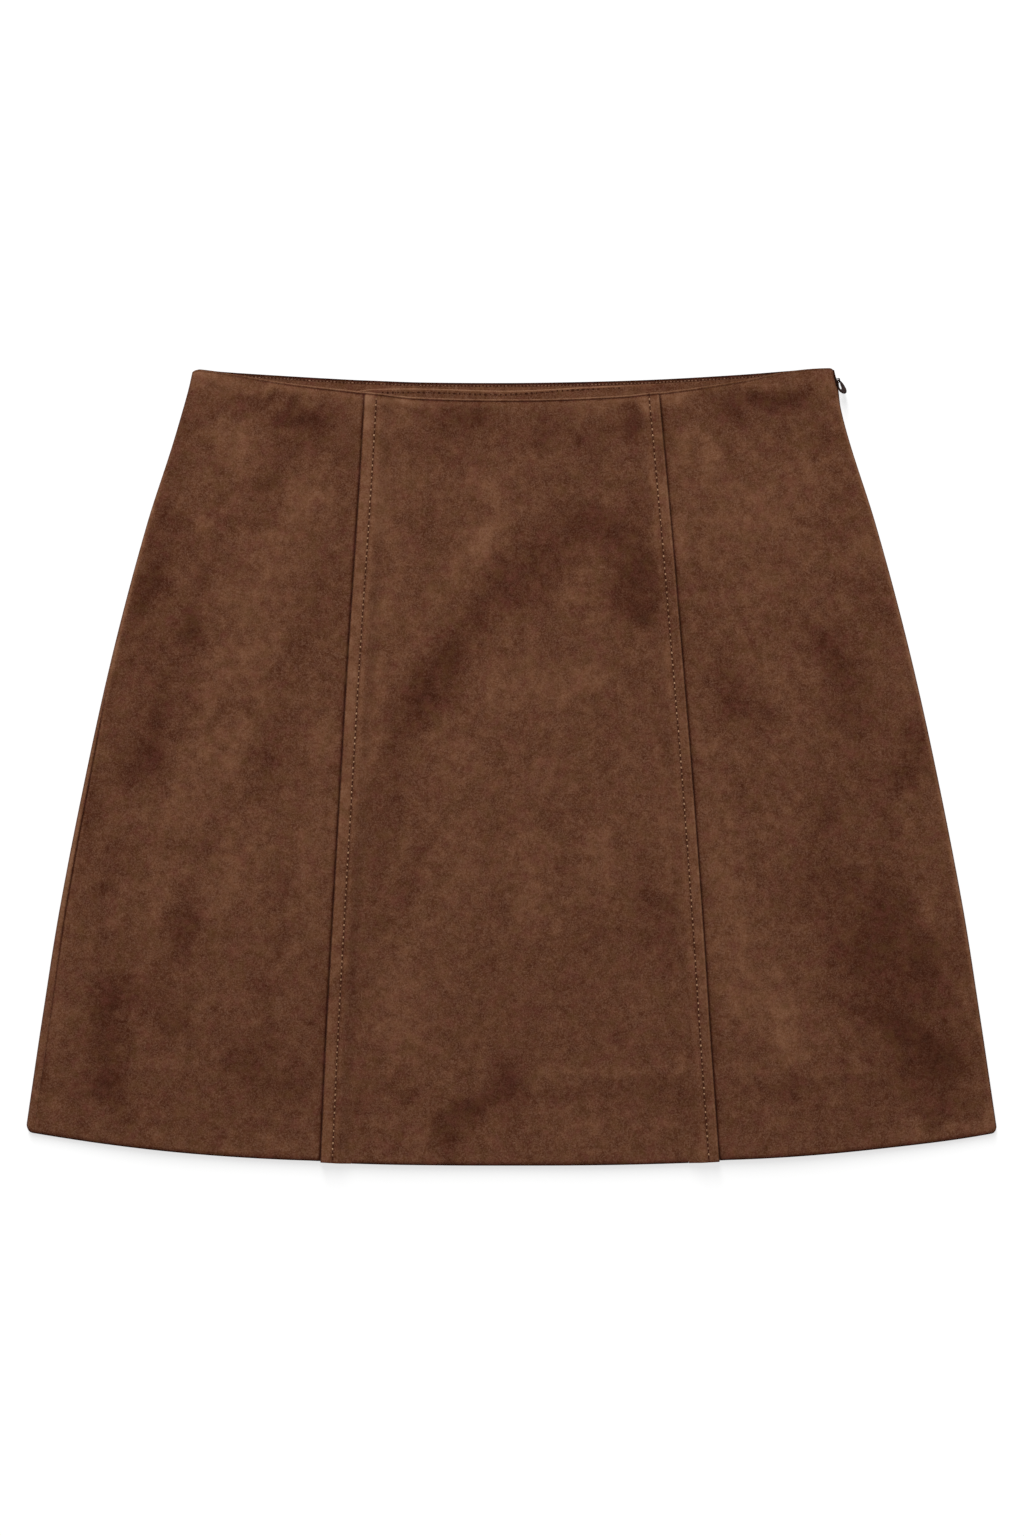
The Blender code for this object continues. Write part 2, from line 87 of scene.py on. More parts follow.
# A row for each point along the waist: the top edges of the front, the front facing
# and the back, which sag in the middle by different amounts, then how strongly the
# front's rim shows its rubbing and the painted shade in its groove, and how rubbed the
# front facing is
Waist = namedtuple("Waist", "x front front_facing back rub facing_rub")
WAIST = (
    Waist(-0.1790, 0.2186, 0.2174, 0.2190, 0.0, 0.0),
    Waist(-0.1779, 0.2203, 0.2189, 0.2207, 0.0, 0.0),
    Waist(-0.1765, 0.2213, 0.2199, 0.2217, 0.0, 0.0),
    Waist(-0.1745, 0.2216, 0.2200, 0.2222, 0.0, 0.0),
    Waist(-0.1630, 0.2203, 0.2188, 0.2209, 0.1, 0.0),
    Waist(-0.1250, 0.2141, 0.2129, 0.2184, 0.6, 0.2),
    Waist(-0.0900, 0.2099, 0.2096, 0.2164, 1.0, 0.8),
    Waist(-0.0780, 0.2085, 0.2109, 0.2159, 1.0, 1.0),
    Waist(-0.0500, 0.2059, 0.2112, 0.2149, 1.0, 1.0),
    Waist(0.0000, 0.2049, 0.2100, 0.2146, 0.9, 1.0),
    Waist(0.0450, 0.2061, 0.2122, 0.2153, 1.0, 1.0),
    Waist(0.0830, 0.2089, 0.2137, 0.2166, 0.8, 0.1),
    Waist(0.1280, 0.2154, 0.2167, 0.2192, 0.4, 0.0),
    Waist(0.1550, 0.2207, 0.2190, 0.2213, 0.1, 0.0),
    Waist(0.1775, 0.2225, 0.2206, 0.2229, 0.0, 0.0),
    Waist(0.1805, 0.2208, 0.2196, 0.2212, 0.0, 0.0),
)
CORNER_START = 0.1700

# Hem: an even curve that rises to the sides, turned up all round
HEM_LOW = -0.2229
HEM_RISE = 0.0185
HEM_HALF = 0.2700
HEM_CURVE = 2.5
HEM_TURN_UP = 0.0500
HEM_MARGIN = FOLD_RADIUS + CLOTH / 2
HEM_CORNER = {-1: 0.0038, 1: 0.0029}
HEM_DIP = 0.0006
HEM_DIP_X = 0.2550
HEM_DIP_WIDTH = 0.0300
BACK_HEM_SHORTER = 0.0012
SIDE_LENGTH = 0.4255
SIDE_TOP = 0.2206
CENTRE_LENGTH = 0.4279
OFF_CENTRE_LENGTH = 0.4260

# Laps of the centre front over the side fronts
LAP_TURN = 0.0080
LAP_FLAT = 0.0085
LAP_EASE = 0.0085
LAP_UNDER = 0.0120
LAP_END_UP = 0.0003
SIDE_HEM_UP = 0.0007
CLEAR_OF_LAP = 0.00015

# Waist facings and inner shorts
FACING_DEPTH = 0.0450
BACK_FACING_SET_BACK = 0.0010
FACING_INSET = 0.0028
SHORTS_GAP = 0.0006
SHORTS_CLEAR_OF_HEM = 0.0560
Shorts = namedtuple("Shorts", "down side inner")
SHORTS = (
    Shorts(0.10, 0.1710, 0.0),
    Shorts(0.35, 0.1960, 0.0),
    Shorts(0.62, 0.2140, 0.0),
    Shorts(0.68, 0.2180, 0.0100),
    Shorts(0.87, 0.2290, 0.0270),
)

# Zip, closed, with its slider near the waist
ZIP_LENGTH = 0.1800
ZIP_START = 0.0015
TAPE_INNER = 0.0039
TAPE_OUTER = 0.0140
SLIDER_DOWN = 0.0060
SLIDER_LENGTH = 0.0070
NECK_HALF_LENGTH = 0.0020
SLIT_HALF = 0.0011
SLIT_HALF_AT_WAIST = 0.0007
SLIT_CLOSES = 0.0045
ARCH_OPENING = 0.0016
HINGE_OUT = EDGE_REACH + GAP + ARCH_OPENING / 2
TAB_REST = math.radians(33)


# ---------------------------------------------------------------- the garment's form


def between(low, high, share):
    """The value a share of the way from low to high."""
    return low + (high - low) * share


def smooth(share):
    """A share eased at both ends."""
    return share * share * (3 - 2 * share)


def clamp(value, low=0.0, high=1.0):
    """A value kept between two others."""
    return min(max(value, low), high)


def bell(distance, width):
    """1 at no distance, falling smoothly to nothing past about twice the width."""
    return math.exp(-((distance / width) ** 2))


@lru_cache(maxsize=None)
def slopes(table, column):
    """A table column's keys, values and the slope through each row."""
    keys = [row[0] for row in table]
    values = [getattr(row, column) for row in table]
    last = len(keys) - 1
    found = []
    for k in range(last + 1):
        before, after = max(k - 1, 0), min(k + 1, last)
        found.append((values[after] - values[before]) / (keys[after] - keys[before]))
    return keys, values, found


def along(table, column, at):
    """A table's column, read between its rows on a smooth curve."""
    keys, values, slope = slopes(table, column)
    k = 0
    while k < len(keys) - 2 and at >= keys[k + 1]:
        k += 1
    width = keys[k + 1] - keys[k]
    t = clamp((at - keys[k]) / width)
    bend_out = slope[k] * width * t * (1 - t) ** 2
    bend_in = slope[k + 1] * width * t * t * (1 - t)
    return between(values[k], values[k + 1], smooth(t)) + bend_out - bend_in


def edge_x(side, down):
    """X of the garment's edge; side is -1 at the left and 1 at the right."""
    return along(SECTIONS, "left" if side < 0 else "right", down)


def fold_x(side, down):
    """X of the centre front's folded edge."""
    return along(SECTIONS, "left_fold" if side < 0 else "right_fold", down)


def hem_y(x):
    """Y of the hem's lowest line, which dips a little near the right corner."""
    curve = HEM_LOW + HEM_RISE * (abs(x) / HEM_HALF) ** HEM_CURVE
    return curve - HEM_DIP * bell(x - HEM_DIP_X, HEM_DIP_WIDTH)


def back_hem_y(x):
    """Y of the back's hem, which is a little shorter than the front's."""
    return hem_y(x) + BACK_HEM_SHORTER


def front_y(x):
    """Y of the front's top edge."""
    return along(WAIST, "front", x)


def back_y(x):
    """Y of the back's top edge."""
    return along(WAIST, "back", x)


def front_facing_y(x):
    """Y of the front facing's top edge."""
    return along(WAIST, "front_facing", x)


def back_facing_y(x):
    """Y of the back facing's top edge."""
    return back_y(x) - BACK_FACING_SET_BACK


def below_waist(outer_y, x, depth):
    """Y at a depth below the waist, level past where its corners round off."""
    return outer_y(clamp(x, -CORNER_START, CORNER_START)) - depth


def slit_half(down):
    """Half the width of the zip's slit, which is open from the waist past the slider."""
    place = down * SIDE_LENGTH
    start = SLIDER_DOWN - NECK_HALF_LENGTH - GAP
    end = SLIDER_DOWN + NECK_HALF_LENGTH + GAP
    if place < start:
        return between(SLIT_HALF_AT_WAIST, SLIT_HALF, place / start)
    if place < end:
        return SLIT_HALF
    return between(SLIT_HALF, SEAM_GAP / 2, clamp((place - end) / SLIT_CLOSES))


def seam_place(side, down, toward):
    """Where a panel ends on the rounded edge; toward is 1 for the front, -1 for the back."""
    if side > 0:
        return RIGHT_SEAM_ROLL + toward * slit_half(down)
    return along(SECTIONS, "left_roll", down) + toward * SEAM_GAP / 2


def rounded_edge(place):
    """Distance in from the edge and height of a point on the side, counted along the
    cloth from the outermost point: positive up and over the front, negative the back."""
    past = abs(place) - QUARTER
    if past > 0:
        return EDGE_REACH + past, EDGE_MIDDLE + math.copysign(EDGE_RADIUS, place)
    turn = place / EDGE_RADIUS
    return EDGE_REACH - EDGE_RADIUS * math.cos(turn), EDGE_MIDDLE + EDGE_RADIUS * math.sin(turn)


# ------------------------------------------------------------------ how the front lies

# Soft ridges and troughs of the front, each by its middle, its half length and half
# width, its turn in degrees from X, and how far it stands up or sinks
Crease = namedtuple("Crease", "x y length width turn height")
CREASES = (
    Crease(0.040, 0.138, 0.034, 0.012, 8, -0.0007),
    Crease(0.012, 0.110, 0.045, 0.013, 46, -0.0008),
    Crease(-0.042, 0.052, 0.050, 0.014, 58, -0.0007),
    Crease(0.066, 0.100, 0.042, 0.012, -64, -0.0008),
    Crease(0.078, -0.070, 0.060, 0.014, -76, -0.0004),
    Crease(-0.070, -0.090, 0.060, 0.016, 74, -0.0004),
    Crease(0.036, 0.092, 0.040, 0.018, 62, 0.0006),
    Crease(-0.010, 0.150, 0.040, 0.018, 50, 0.0005),
    Crease(0.218, -0.105, 0.070, 0.020, -40, -0.0007),
    Crease(0.140, -0.150, 0.045, 0.020, -42, 0.0006),
    Crease(0.130, 0.040, 0.050, 0.016, -58, -0.0006),
    Crease(0.182, 0.055, 0.045, 0.013, -72, -0.0006),
    Crease(-0.135, 0.005, 0.050, 0.015, 62, -0.0006),
    Crease(-0.190, 0.030, 0.060, 0.014, 74, -0.0005),
    Crease(-0.215, -0.130, 0.060, 0.016, 84, -0.0005),
    Crease(-0.125, 0.135, 0.060, 0.020, 58, 0.0005),
    Crease(-0.020, -0.195, 0.040, 0.013, 38, -0.0008),
    Crease(0.030, -0.172, 0.110, 0.005, 0, 0.0003),
)
LOFT = 0.0009
LOFT_FADE = 0.0450

# Places where the front's hem stands a little off the back, along the hem
HemLift = namedtuple("HemLift", "x width height")
HEM_LIFTS = (
    HemLift(-0.190, 0.040, 0.0009),
    HemLift(-0.060, 0.055, 0.0013),
    HemLift(0.045, 0.040, 0.0008),
    HemLift(0.150, 0.050, 0.0015),
)
HEM_LIFT_DEPTH = 0.0600


def crease_height(crease, x, y):
    """How much one crease adds at a point."""
    turn = math.radians(crease.turn)
    dx, dy = x - crease.x, y - crease.y
    lengthwise = dx * math.cos(turn) + dy * math.sin(turn)
    crosswise = dy * math.cos(turn) - dx * math.sin(turn)
    return crease.height * bell(lengthwise, crease.length) * bell(crosswise, crease.width)


def stand_off(x, y):
    """How far the front is raised off its flat layer: none at its side edges."""
    down = (SIDE_TOP - y) / SIDE_LENGTH
    inset = min(edge_x(1, down) - x, x - edge_x(-1, down)) - EDGE_STRIP
    fade = smooth(clamp(inset / LOFT_FADE))
    height = LOFT + sum(crease_height(crease, x, y) for crease in CREASES)
    above_hem = (y - hem_y(x)) / HEM_LIFT_DEPTH
    lift = sum(lift.height * bell(x - lift.x, lift.width) for lift in HEM_LIFTS)
    return fade * (max(height, 0.0) + lift * bell(above_hem, 1.0))


def lies_flat(x, y):
    """No rise, for the layers under the front."""
    return 0.0


# ------------------------------------------------------------------------ cloth pieces

# Rows and columns of the cloth's grid: how far apart they are on the fronts and on the
# back, how they crowd toward a side seam, and how close they lie at a top edge and hem
FINE = 0.0024
COARSE = 0.0040
EDGE_STEPS = 12
EDGE_CROWD = 1.4
FOLD_STEPS = 8
TOP_STEP = 0.0002
TOP_ROWS = 21
HEM_ROWS_UP = (0.0023, 0.0017, 0.0012, 0.0008, 0.0004, 0.0002, 0.0)

# The widths that set how many columns lie on the flat of the fronts and the back, and
# the grids of the pieces inside
CENTRE_FLAT = 0.165
SIDE_FLAT = 0.110
BACK_FLAT = 0.450
UNDER_LAP_STEPS = 4
FACING_STEPS = 110
SHORTS_STEPS = 40
SHORTS_LENGTH = 0.300
SHORTS_STEP = 0.005
TAPE_STEPS = 5
TAPE_STEP = 0.003

# Topstitching: from one needle hole to the next, the half length and half width of the
# thread that shows, how far it stands up, the half length and half width of the hole, and
# how uneven they are
Stitching = namedtuple(
    "Stitching", "pitch thread_long thread_wide thread_high hole_long hole_wide uneven"
)
LAP_STITCHES = Stitching(0.00336, 0.00066, 0.00041, 0.00022, 0.00118, 0.00070, 0.18)
BACK_STITCHES = Stitching(0.00200, 0.00062, 0.00034, 0.00014, 0.00046, 0.00042, 0.30)
FACING_STITCHES = Stitching(0.00290, 0.00050, 0.00026, 0.00008, 0.00080, 0.00052, 0.50)

# How far in from the lap's fold its stitches lie, by side, -1 at the left and 1 at the
# right; how far below the facings' edges theirs do, less toward the right on the front
# one; and how the lap sinks along its stitches and puffs up outside them
LAP_STITCH_IN = {-1: 0.0066, 1: 0.0058}
FRONT_STITCH_DOWN = (0.0023, 0.0013)
FRONT_STITCH_RISE = (-0.010, 0.030)
BACK_STITCH_DOWN = 0.00085
STITCH_SINK = 0.00020
STITCH_SINK_WIDTH = 0.0009
LAP_PUFF = 0.00018

# Light and shade along the side edges, by the share of the length: how much lighter the
# left and right outlines are, partly rubbed and partly painted light, with painted shade
# where it is negative, and how dark the painted shade in the crease of the left seam is,
# painted lighter where that is negative
EdgeWearAndShading = namedtuple("EdgeWearAndShading", "down left right seam")
EDGE_WEAR_AND_SHADING = (
    EdgeWearAndShading(0.000, 0.2, -0.8, 0.0),
    EdgeWearAndShading(0.025, 0.4, -0.8, 0.0),
    EdgeWearAndShading(0.045, 0.6, 1.8, 0.0),
    EdgeWearAndShading(0.10, 0.5, 2.0, 0.0),
    EdgeWearAndShading(0.17, 2.4, 2.2, 0.0),
    EdgeWearAndShading(0.30, 2.8, 2.0, 0.0),
    EdgeWearAndShading(0.40, 2.4, 2.2, 0.6),
    EdgeWearAndShading(0.48, 1.6, 2.4, 3.2),
    EdgeWearAndShading(0.60, 2.0, 2.0, 3.6),
    EdgeWearAndShading(0.70, 2.2, 2.6, 3.4),
    EdgeWearAndShading(0.78, 0.9, 2.2, 1.7),
    EdgeWearAndShading(0.85, 0.7, 1.8, 0.8),
    EdgeWearAndShading(1.00, 0.2, 1.0, -0.4),
)

# How far in from the outline and how wide that lighter band is, the painted shade of the
# outline itself, and the painted shade of the seam's crease with the painted highlight
# beside it
EDGE_WEAR_AND_LIGHT_IN = 0.0010
EDGE_WEAR_AND_LIGHT_WIDTH = {-1: 0.0014, 1: 0.0010}
EDGE_SHADE = 3.4
EDGE_SHADE_WIDTH = 0.00045
STRIP_WEAR_AND_LIGHT_WIDTH = 0.0028
SEAM_SHADE_WIDTH = 0.0006
BESIDE_SEAM = 0.0014
BESIDE_SEAM_HIGHLIGHT = 0.8

# Light and shade painted on the laps, by side: how light the strip outside the stitches
# is, partly from the nap and partly painted light, and the painted highlight on the fold;
# the painted shade along the stitches' line and the painted highlight on the ridge inside
# it; then the painted shade under the fold, which fades at the waist, and the painted
# shade on the hem's lowest line
LAP_STRIP_AND_FOLD_LIGHT = {-1: (0.85, 0.8), 1: (0.35, 2.3)}
LAP_STITCH_SHADE = {-1: 1.1, 1: 1.8}
LAP_STITCH_BAND = {-1: 0.0009, 1: 0.0006}
LAP_RIDGE_IN = {-1: 0.0019, 1: 0.0026}
LAP_RIDGE_WIDTH = {-1: 0.0008, 1: 0.0014}
LAP_RIDGE_HIGHLIGHT = 0.6
LAP_STRIP_SOFT = 0.001
LAP_HIGHLIGHT_IN = 0.0006
LAP_HIGHLIGHT_WIDTH = 0.0006
LAP_SHADE = {-1: 4.6, 1: 3.9}
LAP_SHADE_WIDTH = {-1: 0.00090, 1: 0.00080}
LAP_SHADE_FAR = 0.45
LAP_SHADE_FADE = 0.006
LAP_SHADE_REACH = {-1: 0.0018, 1: 0.0035}
HEM_SHADE = 1.7
HEM_SHADE_WIDTH = 0.0010
HEM_FOLD_SHADE = 3.5

# Columns of the lap: even from where it leaves the flat, then at these distances on each
# side of its stitches, near its fold and on its return; and beside the fold on the side
# front, from outside it to under it
LAP_EVEN = 14
LAP_EVEN_KEPT = 10
BEFORE_STITCHES = (0.0024, 0.0018, 0.0013, 0.0009, 0.0005, 0.0)
PAST_STITCHES = (0.0004, 0.0008, 0.0013, 0.0020, 0.0030)
NEAR_FOLD = (0.0022, 0.0017)
ON_RETURN = (0.0030, 0.0055, LAP_TURN)
FOLD_SHADE_TURN = 0.6 * math.pi
BESIDE_FOLD = (0.0060, -0.0012)
BESIDE_FOLD_STEPS = 12

# The rolled top edge of the fronts, going down: a rubbed rim, the groove of its seam with
# painted shade in it, and a light band
RIM = 0.0005
RIM_LIGHT = 3.8
GROOVE_DOWN = 0.0012
GROOVE_WIDTH = 0.0005
GROOVE_DEPTH = 0.00020
GROOVE_SHADE = 4.0
BAND_DOWN = 0.0028
BAND_WIDTH = 0.0012
BAND_LIGHT = 0.7

# The front facing's top edge: a rubbed fold, then light cloth with a band of painted
# shade along its stitches
FACING_RUB = 4.4
FACING_RUB_WIDTH = 0.0006
FACING_LIGHT = 0.4
FACING_LIGHT_FROM = 0.0012
FACING_BAND_DOWN = 0.0022
FACING_BAND_WIDTH = 0.0012
FACING_BAND_SHADE = 0.5

# The top edges of the back and its facing, in the shade of what lies over them
BACK_SHADE = 3.5
BACK_SHADE_WIDTH = 0.0020
BACK_FACING_LIGHT = 0.5
BACK_FACING_SHADE_WIDTH = 0.0005
BACK_STITCH_SHADE = 0.9
BACK_STITCH_SHADE_WIDTH = 0.0007

# A column runs from waist to hem: line gives its X and height at a share of the length,
# turns says whether the hem is turned up there, drop is how far its end lies off the hem
# line, tone how much lighter or darker it is, from the nap and from painted light and
# shade, also as a function of that share, and inward the way that the hem turns in where
# that isn't straight down or up
Column = namedtuple("Column", "line turns drop tone inward", defaults=(None,))

# A row runs across: down is its share of the length, turn its angle round the hem's
# fold, up its distance back up the turn-up, tone its nap with painted light and shade,
# rim the part of its tone at the waist's rolled edge, from rubbing and from painted
# shade in its groove, and lift its relief
Row = namedtuple("Row", "down turn up tone rim lift", defaults=(0.0, 0.0, 0.0, 0.0, 0.0))


def hem_corner(side, distance):
    """How far the hem rises at a distance in from the outline, where its corner is round."""
    radius = HEM_CORNER[side]
    return radius - math.sqrt(radius**2 - max(radius - distance, 0.0) ** 2)


def edge_column(side, toward, share):
    """A column on the rounded edge: share 0 is at the seam, 1 on the flat. The back's hem
    comes level with the front's where it wraps forward."""

    def place_at(down):
        return between(seam_place(side, down, toward), toward * EDGE_STRIP, share)

    def line(down):
        inward, height = rounded_edge(place_at(down))
        return edge_x(side, down) - side * inward, height

    def tone(down):
        return edge_wear_and_shading(side, toward, down, place_at(down)) * (1 - smooth(share))

    end = place_at(1.0)
    turn = clamp(end / EDGE_RADIUS, -math.pi / 2, math.pi / 2)
    drop = HEM_MARGIN + hem_corner(side, rounded_edge(end)[0] - CLOTH / 2)
    if toward < 0:
        drop -= BACK_HEM_SHORTER * smooth(clamp(1 + end / QUARTER))
    inward = -side * math.cos(turn), -math.sin(turn)
    return Column(line, True, drop, tone, inward)


def edge_wear_and_shading(side, toward, down, place):
    """Tone on the rounded edge: lighter along the outline, partly rubbed and partly painted
    light, painted shade on the outline itself and in the left seam, and a painted highlight
    beside the seam.
    """
    rub = along(EDGE_WEAR_AND_SHADING, "left" if side < 0 else "right", down)
    strip = side < 0 and toward < 0 and place > 0
    inward = rounded_edge(place)[0] - CLOTH / 2
    width = STRIP_WEAR_AND_LIGHT_WIDTH if strip else EDGE_WEAR_AND_LIGHT_WIDTH[side]
    tone = rub * bell(inward - EDGE_WEAR_AND_LIGHT_IN, width)
    # the outline's own round gets painted shade
    tone = (tone - EDGE_SHADE * bell(inward, EDGE_SHADE_WIDTH)) * smooth(clamp(1 + place / QUARTER))
    if side < 0:
        # painted shade in the left seam's crease, with a painted highlight beside it on the front
        off = abs(place - seam_place(side, down, toward))
        dark = along(EDGE_WEAR_AND_SHADING, "seam", down)
        tone -= dark * bell(off, SEAM_SHADE_WIDTH)
        if toward > 0:
            tone += BESIDE_SEAM_HIGHLIGHT * clamp(dark) * bell(off - BESIDE_SEAM, SEAM_SHADE_WIDTH)
    return tone


def edge_columns(side, toward, steps):
    """Columns round an edge from the seam, where they are close, to the flat."""
    shares = [(k / steps) ** EDGE_CROWD for k in range(steps + 1)]
    columns = [edge_column(side, toward, share) for share in shares]
    return columns[:-1] + [columns[-1]._replace(tone=0.0)]


def blended_column(first, second, share):
    """A column between two others, with the hem turned up. Its end follows the first's
    until close to the second."""

    def line(down):
        x0, height = first.line(down)
        x1 = second.line(down)[0]
        return between(x0, x1, share), height

    drop = between(first.drop, second.drop, share**4)
    return Column(line, True, drop, between(first.tone, second.tone, share))


def lap_column(side, inward, height, turns=False, tone=0.0):
    """A column of the centre front at a distance in from its folded edge. Its end is cut
    level with the turned hem beside it."""
    share = clamp(inward / (LAP_FLAT + LAP_EASE))
    drop = HEM_MARGIN if turns else LAP_END_UP * (1 - share)

    def line(down):
        return fold_x(side, down) - side * inward, height

    return Column(line, turns, drop, tone)


def side_column(side, outward, tone=0.0):
    """A column of a side front at a distance out from the lap's fold. Its hem is a little
    higher than the centre's there."""
    column = lap_column(side, -outward, FRONT, turns=True, tone=tone)
    return column._replace(drop=HEM_MARGIN + SIDE_HEM_UP)


def inset_column(side, inward, height):
    """A column of an inner piece at a distance in from the garment's edge."""

    def line(down):
        return edge_x(side, down) - side * inward, height

    return Column(line, False, 0.0, 0.0)


def even_columns(left, right, steps, ends=(0, 0)):
    """Even columns between two; ends says how many to leave out at each end."""
    kept = range(ends[0], steps + 1 - ends[1])
    return [blended_column(left, right, k / steps) for k in kept]


def inner_columns(first, second, steps):
    """Even columns of a piece inside, whose end isn't turned up."""
    columns = even_columns(first, second, steps)
    return [column._replace(turns=False, drop=0.0) for column in columns]


def rolled_edge(distance):
    """Tone, rubbed tone with the painted shade of the groove, and relief of a rolled top edge
    at a distance down from it.
    """
    rim = bell(distance, RIM)
    groove = bell(distance - GROOVE_DOWN, GROOVE_WIDTH)
    band = bell(distance - BAND_DOWN, BAND_WIDTH)
    # the rim is rubbed lighter; the groove's darkening is painted shade
    rubbed = RIM_LIGHT * rim - GROOVE_SHADE * groove + BAND_LIGHT * band
    return 0.0, rubbed, -GROOVE_DEPTH * groove


def front_stitch_down(x):
    """How far below its fold the front facing is stitched: less toward the right."""
    start, end = FRONT_STITCH_RISE
    return between(*FRONT_STITCH_DOWN, smooth(clamp((x - start) / (end - start))))


def front_facing_edge(distance):
    """The same for the front facing: a rubbed fold, then a stitched band with painted shade."""
    light = FACING_LIGHT * smooth(clamp(distance / FACING_LIGHT_FROM))
    dark = FACING_BAND_SHADE * bell(distance - FACING_BAND_DOWN, FACING_BAND_WIDTH)
    return light - dark, FACING_RUB * bell(distance, FACING_RUB_WIDTH), 0.0


def back_facing_edge(distance):
    """The same for the back facing, which lies in the shade of the front."""
    dark = BACK_SHADE * bell(distance, BACK_FACING_SHADE_WIDTH)
    dark += BACK_STITCH_SHADE * bell(distance - BACK_STITCH_DOWN, BACK_STITCH_SHADE_WIDTH)
    return BACK_FACING_LIGHT - dark, 0.0, 0.0


def back_edge(distance):
    """The same for the back, which lies lowest."""
    return -BACK_SHADE * bell(distance, BACK_SHADE_WIDTH), 0.0, 0.0


def plain_edge(distance):
    """The same for an edge that nothing marks."""
    return 0.0, 0.0, 0.0


def length_rows(length, step, top, hem_shade=0.0, close=True):
    """Rows from a piece's top edge down: close together at the edge, even, and close
    again above a hem, whose lowest line is given painted shade."""
    near = [k * TOP_STEP for k in range(TOP_ROWS)] if close else [0.0]
    end = HEM_ROWS_UP if hem_shade else (0.0,)
    reach = length - end[0]
    count = max(1, round((reach - near[-1]) / step))
    places = near + [between(near[-1], reach, k / count) for k in range(1, count + 1)]
    places += [length - distance for distance in end[1:]]
    rows = []
    for place in places:
        tone, rim, lift = top(place)
        tone -= hem_shade * bell(length - place, HEM_SHADE_WIDTH)
        rows.append(Row(place / length, tone=tone, rim=rim, lift=lift))
    return rows


def turned_rows(step):
    """Rows round the hem's fold, which is given painted shade, and back up its turn-up."""
    turns = [math.pi * k / FOLD_STEPS for k in range(1, FOLD_STEPS + 1)]
    rows = [Row(1.0, turn, tone=-HEM_FOLD_SHADE) for turn in turns]
    count = round(HEM_TURN_UP / step)
    return rows + [Row(1.0, math.pi, HEM_TURN_UP * k / count) for k in range(1, count + 1)]


def run_of(column, high, low, span=(0.0, 1.0)):
    """A column's run on its piece: a function from the share of its length, and how far
    back up from there, to X, Y and height."""
    start, end = (column.line(share)[0] for share in span)
    top, bottom = high(start), low(end) + column.drop
    waist, hem = front_y(column.line(0.0)[0]), hem_y(column.line(1.0)[0])

    def point(down, up=0.0):
        y = between(top, bottom, down) + up
        x, height = column.line((waist - y) / (waist - hem))
        return x, y, height

    return point


def cloth(
    name, columns, rows, high, low,
    span=(0.0, 1.0), inside=-1, rise=lies_flat, marks=(), rub="rub",
):
    """A cloth piece: a grid laid out by its columns and rows, and the cut of its cloth.
    span is the shares of the length at which it starts and ends, inside the way its hem
    turns, -1 down or 1 up, and the last argument the waist's column that says how strongly
    its rim's rubbing and painted shade show."""
    across, length = len(columns) - 1, len(rows) - 1
    grid = bmesh.new()
    bmesh.ops.create_grid(grid, x_segments=across, y_segments=length, size=0.5)
    nap = grid.verts.layers.float.new("nap")
    place = {}
    for vert in grid.verts:
        place[vert] = (round((vert.co.x + 0.5) * across), round((0.5 - vert.co.y) * length))
    loose = []
    for face in grid.faces:
        turned = any(rows[place[vert][1]].turn > 0 for vert in face.verts)
        plain = any(not columns[place[vert][0]].turns for vert in face.verts)
        if turned and plain:
            loose.append(face)
    runs = [run_of(column, high, low, span) for column in columns]
    points = {}
    for vert, (i, j) in place.items():
        row = rows[j]
        x, y, height = runs[i](row.down, row.up)
        y -= FOLD_RADIUS * math.sin(row.turn)
        sideways, upward = columns[i].inward or (0.0, inside)
        deep = FOLD_RADIUS * (1 - math.cos(row.turn))
        x += sideways * deep
        height += upward * deep
        points[i, j] = Vector((x, y, height + row.lift + rise(x, y)))
        vert.co = points[i, j]
        # The nap attribute adds the brushed nap to painted light and shade: painted highlights on
        # folds and outlines, painted shade in grooves, seams, creases, under folds and on the
        # hem.
        tone = columns[i].tone
        vert[nap] = row.tone + (tone(row.down) if callable(tone) else tone)
        vert[nap] += row.rim * along(WAIST, rub, x)
    if marks:
        tones = marked_tone([vert.co for vert in grid.verts], marks)
        for vert, tone in zip(grid.verts, tones):
            vert[nap] += tone
    bmesh.ops.delete(grid, geom=loose, context="FACES")
    piece = add_object(name, smooth_mesh(name, grid))
    return piece, flat_cut(piece, points, columns, rows)


def flat_cut(piece, points, columns, rows):
    """The width, length and area that a cloth piece was cut to: its longest row, its
    longest column and its grid's area, because it is laid flat without stretching."""
    flat_rows = sum(row.turn == 0 for row in rows)
    width = max(run_length(points[i, j] for i in range(len(columns))) for j in range(flat_rows))
    length = 0.0
    for i, column in enumerate(columns):
        count = len(rows) if column.turns else flat_rows
        length = max(length, run_length(points[i, j] for j in range(count)))
    return width, length, sum(face.area for face in piece.data.polygons)


def run_length(points):
    """The length of a line through points."""
    line = list(points)
    return sum((b - a).length for a, b in zip(line, line[1:]))


def smooth_mesh(name, shape):
    """A smooth-shaded mesh of a finished bmesh."""
    mesh = bpy.data.meshes.new(name)
    shape.to_mesh(mesh)
    shape.free()
    mesh.shade_smooth()
    return mesh


def add_object(name, data):
    """An object in the scene."""
    added = bpy.data.objects.new(name, data)
    bpy.context.scene.collection.objects.link(added)
    return added


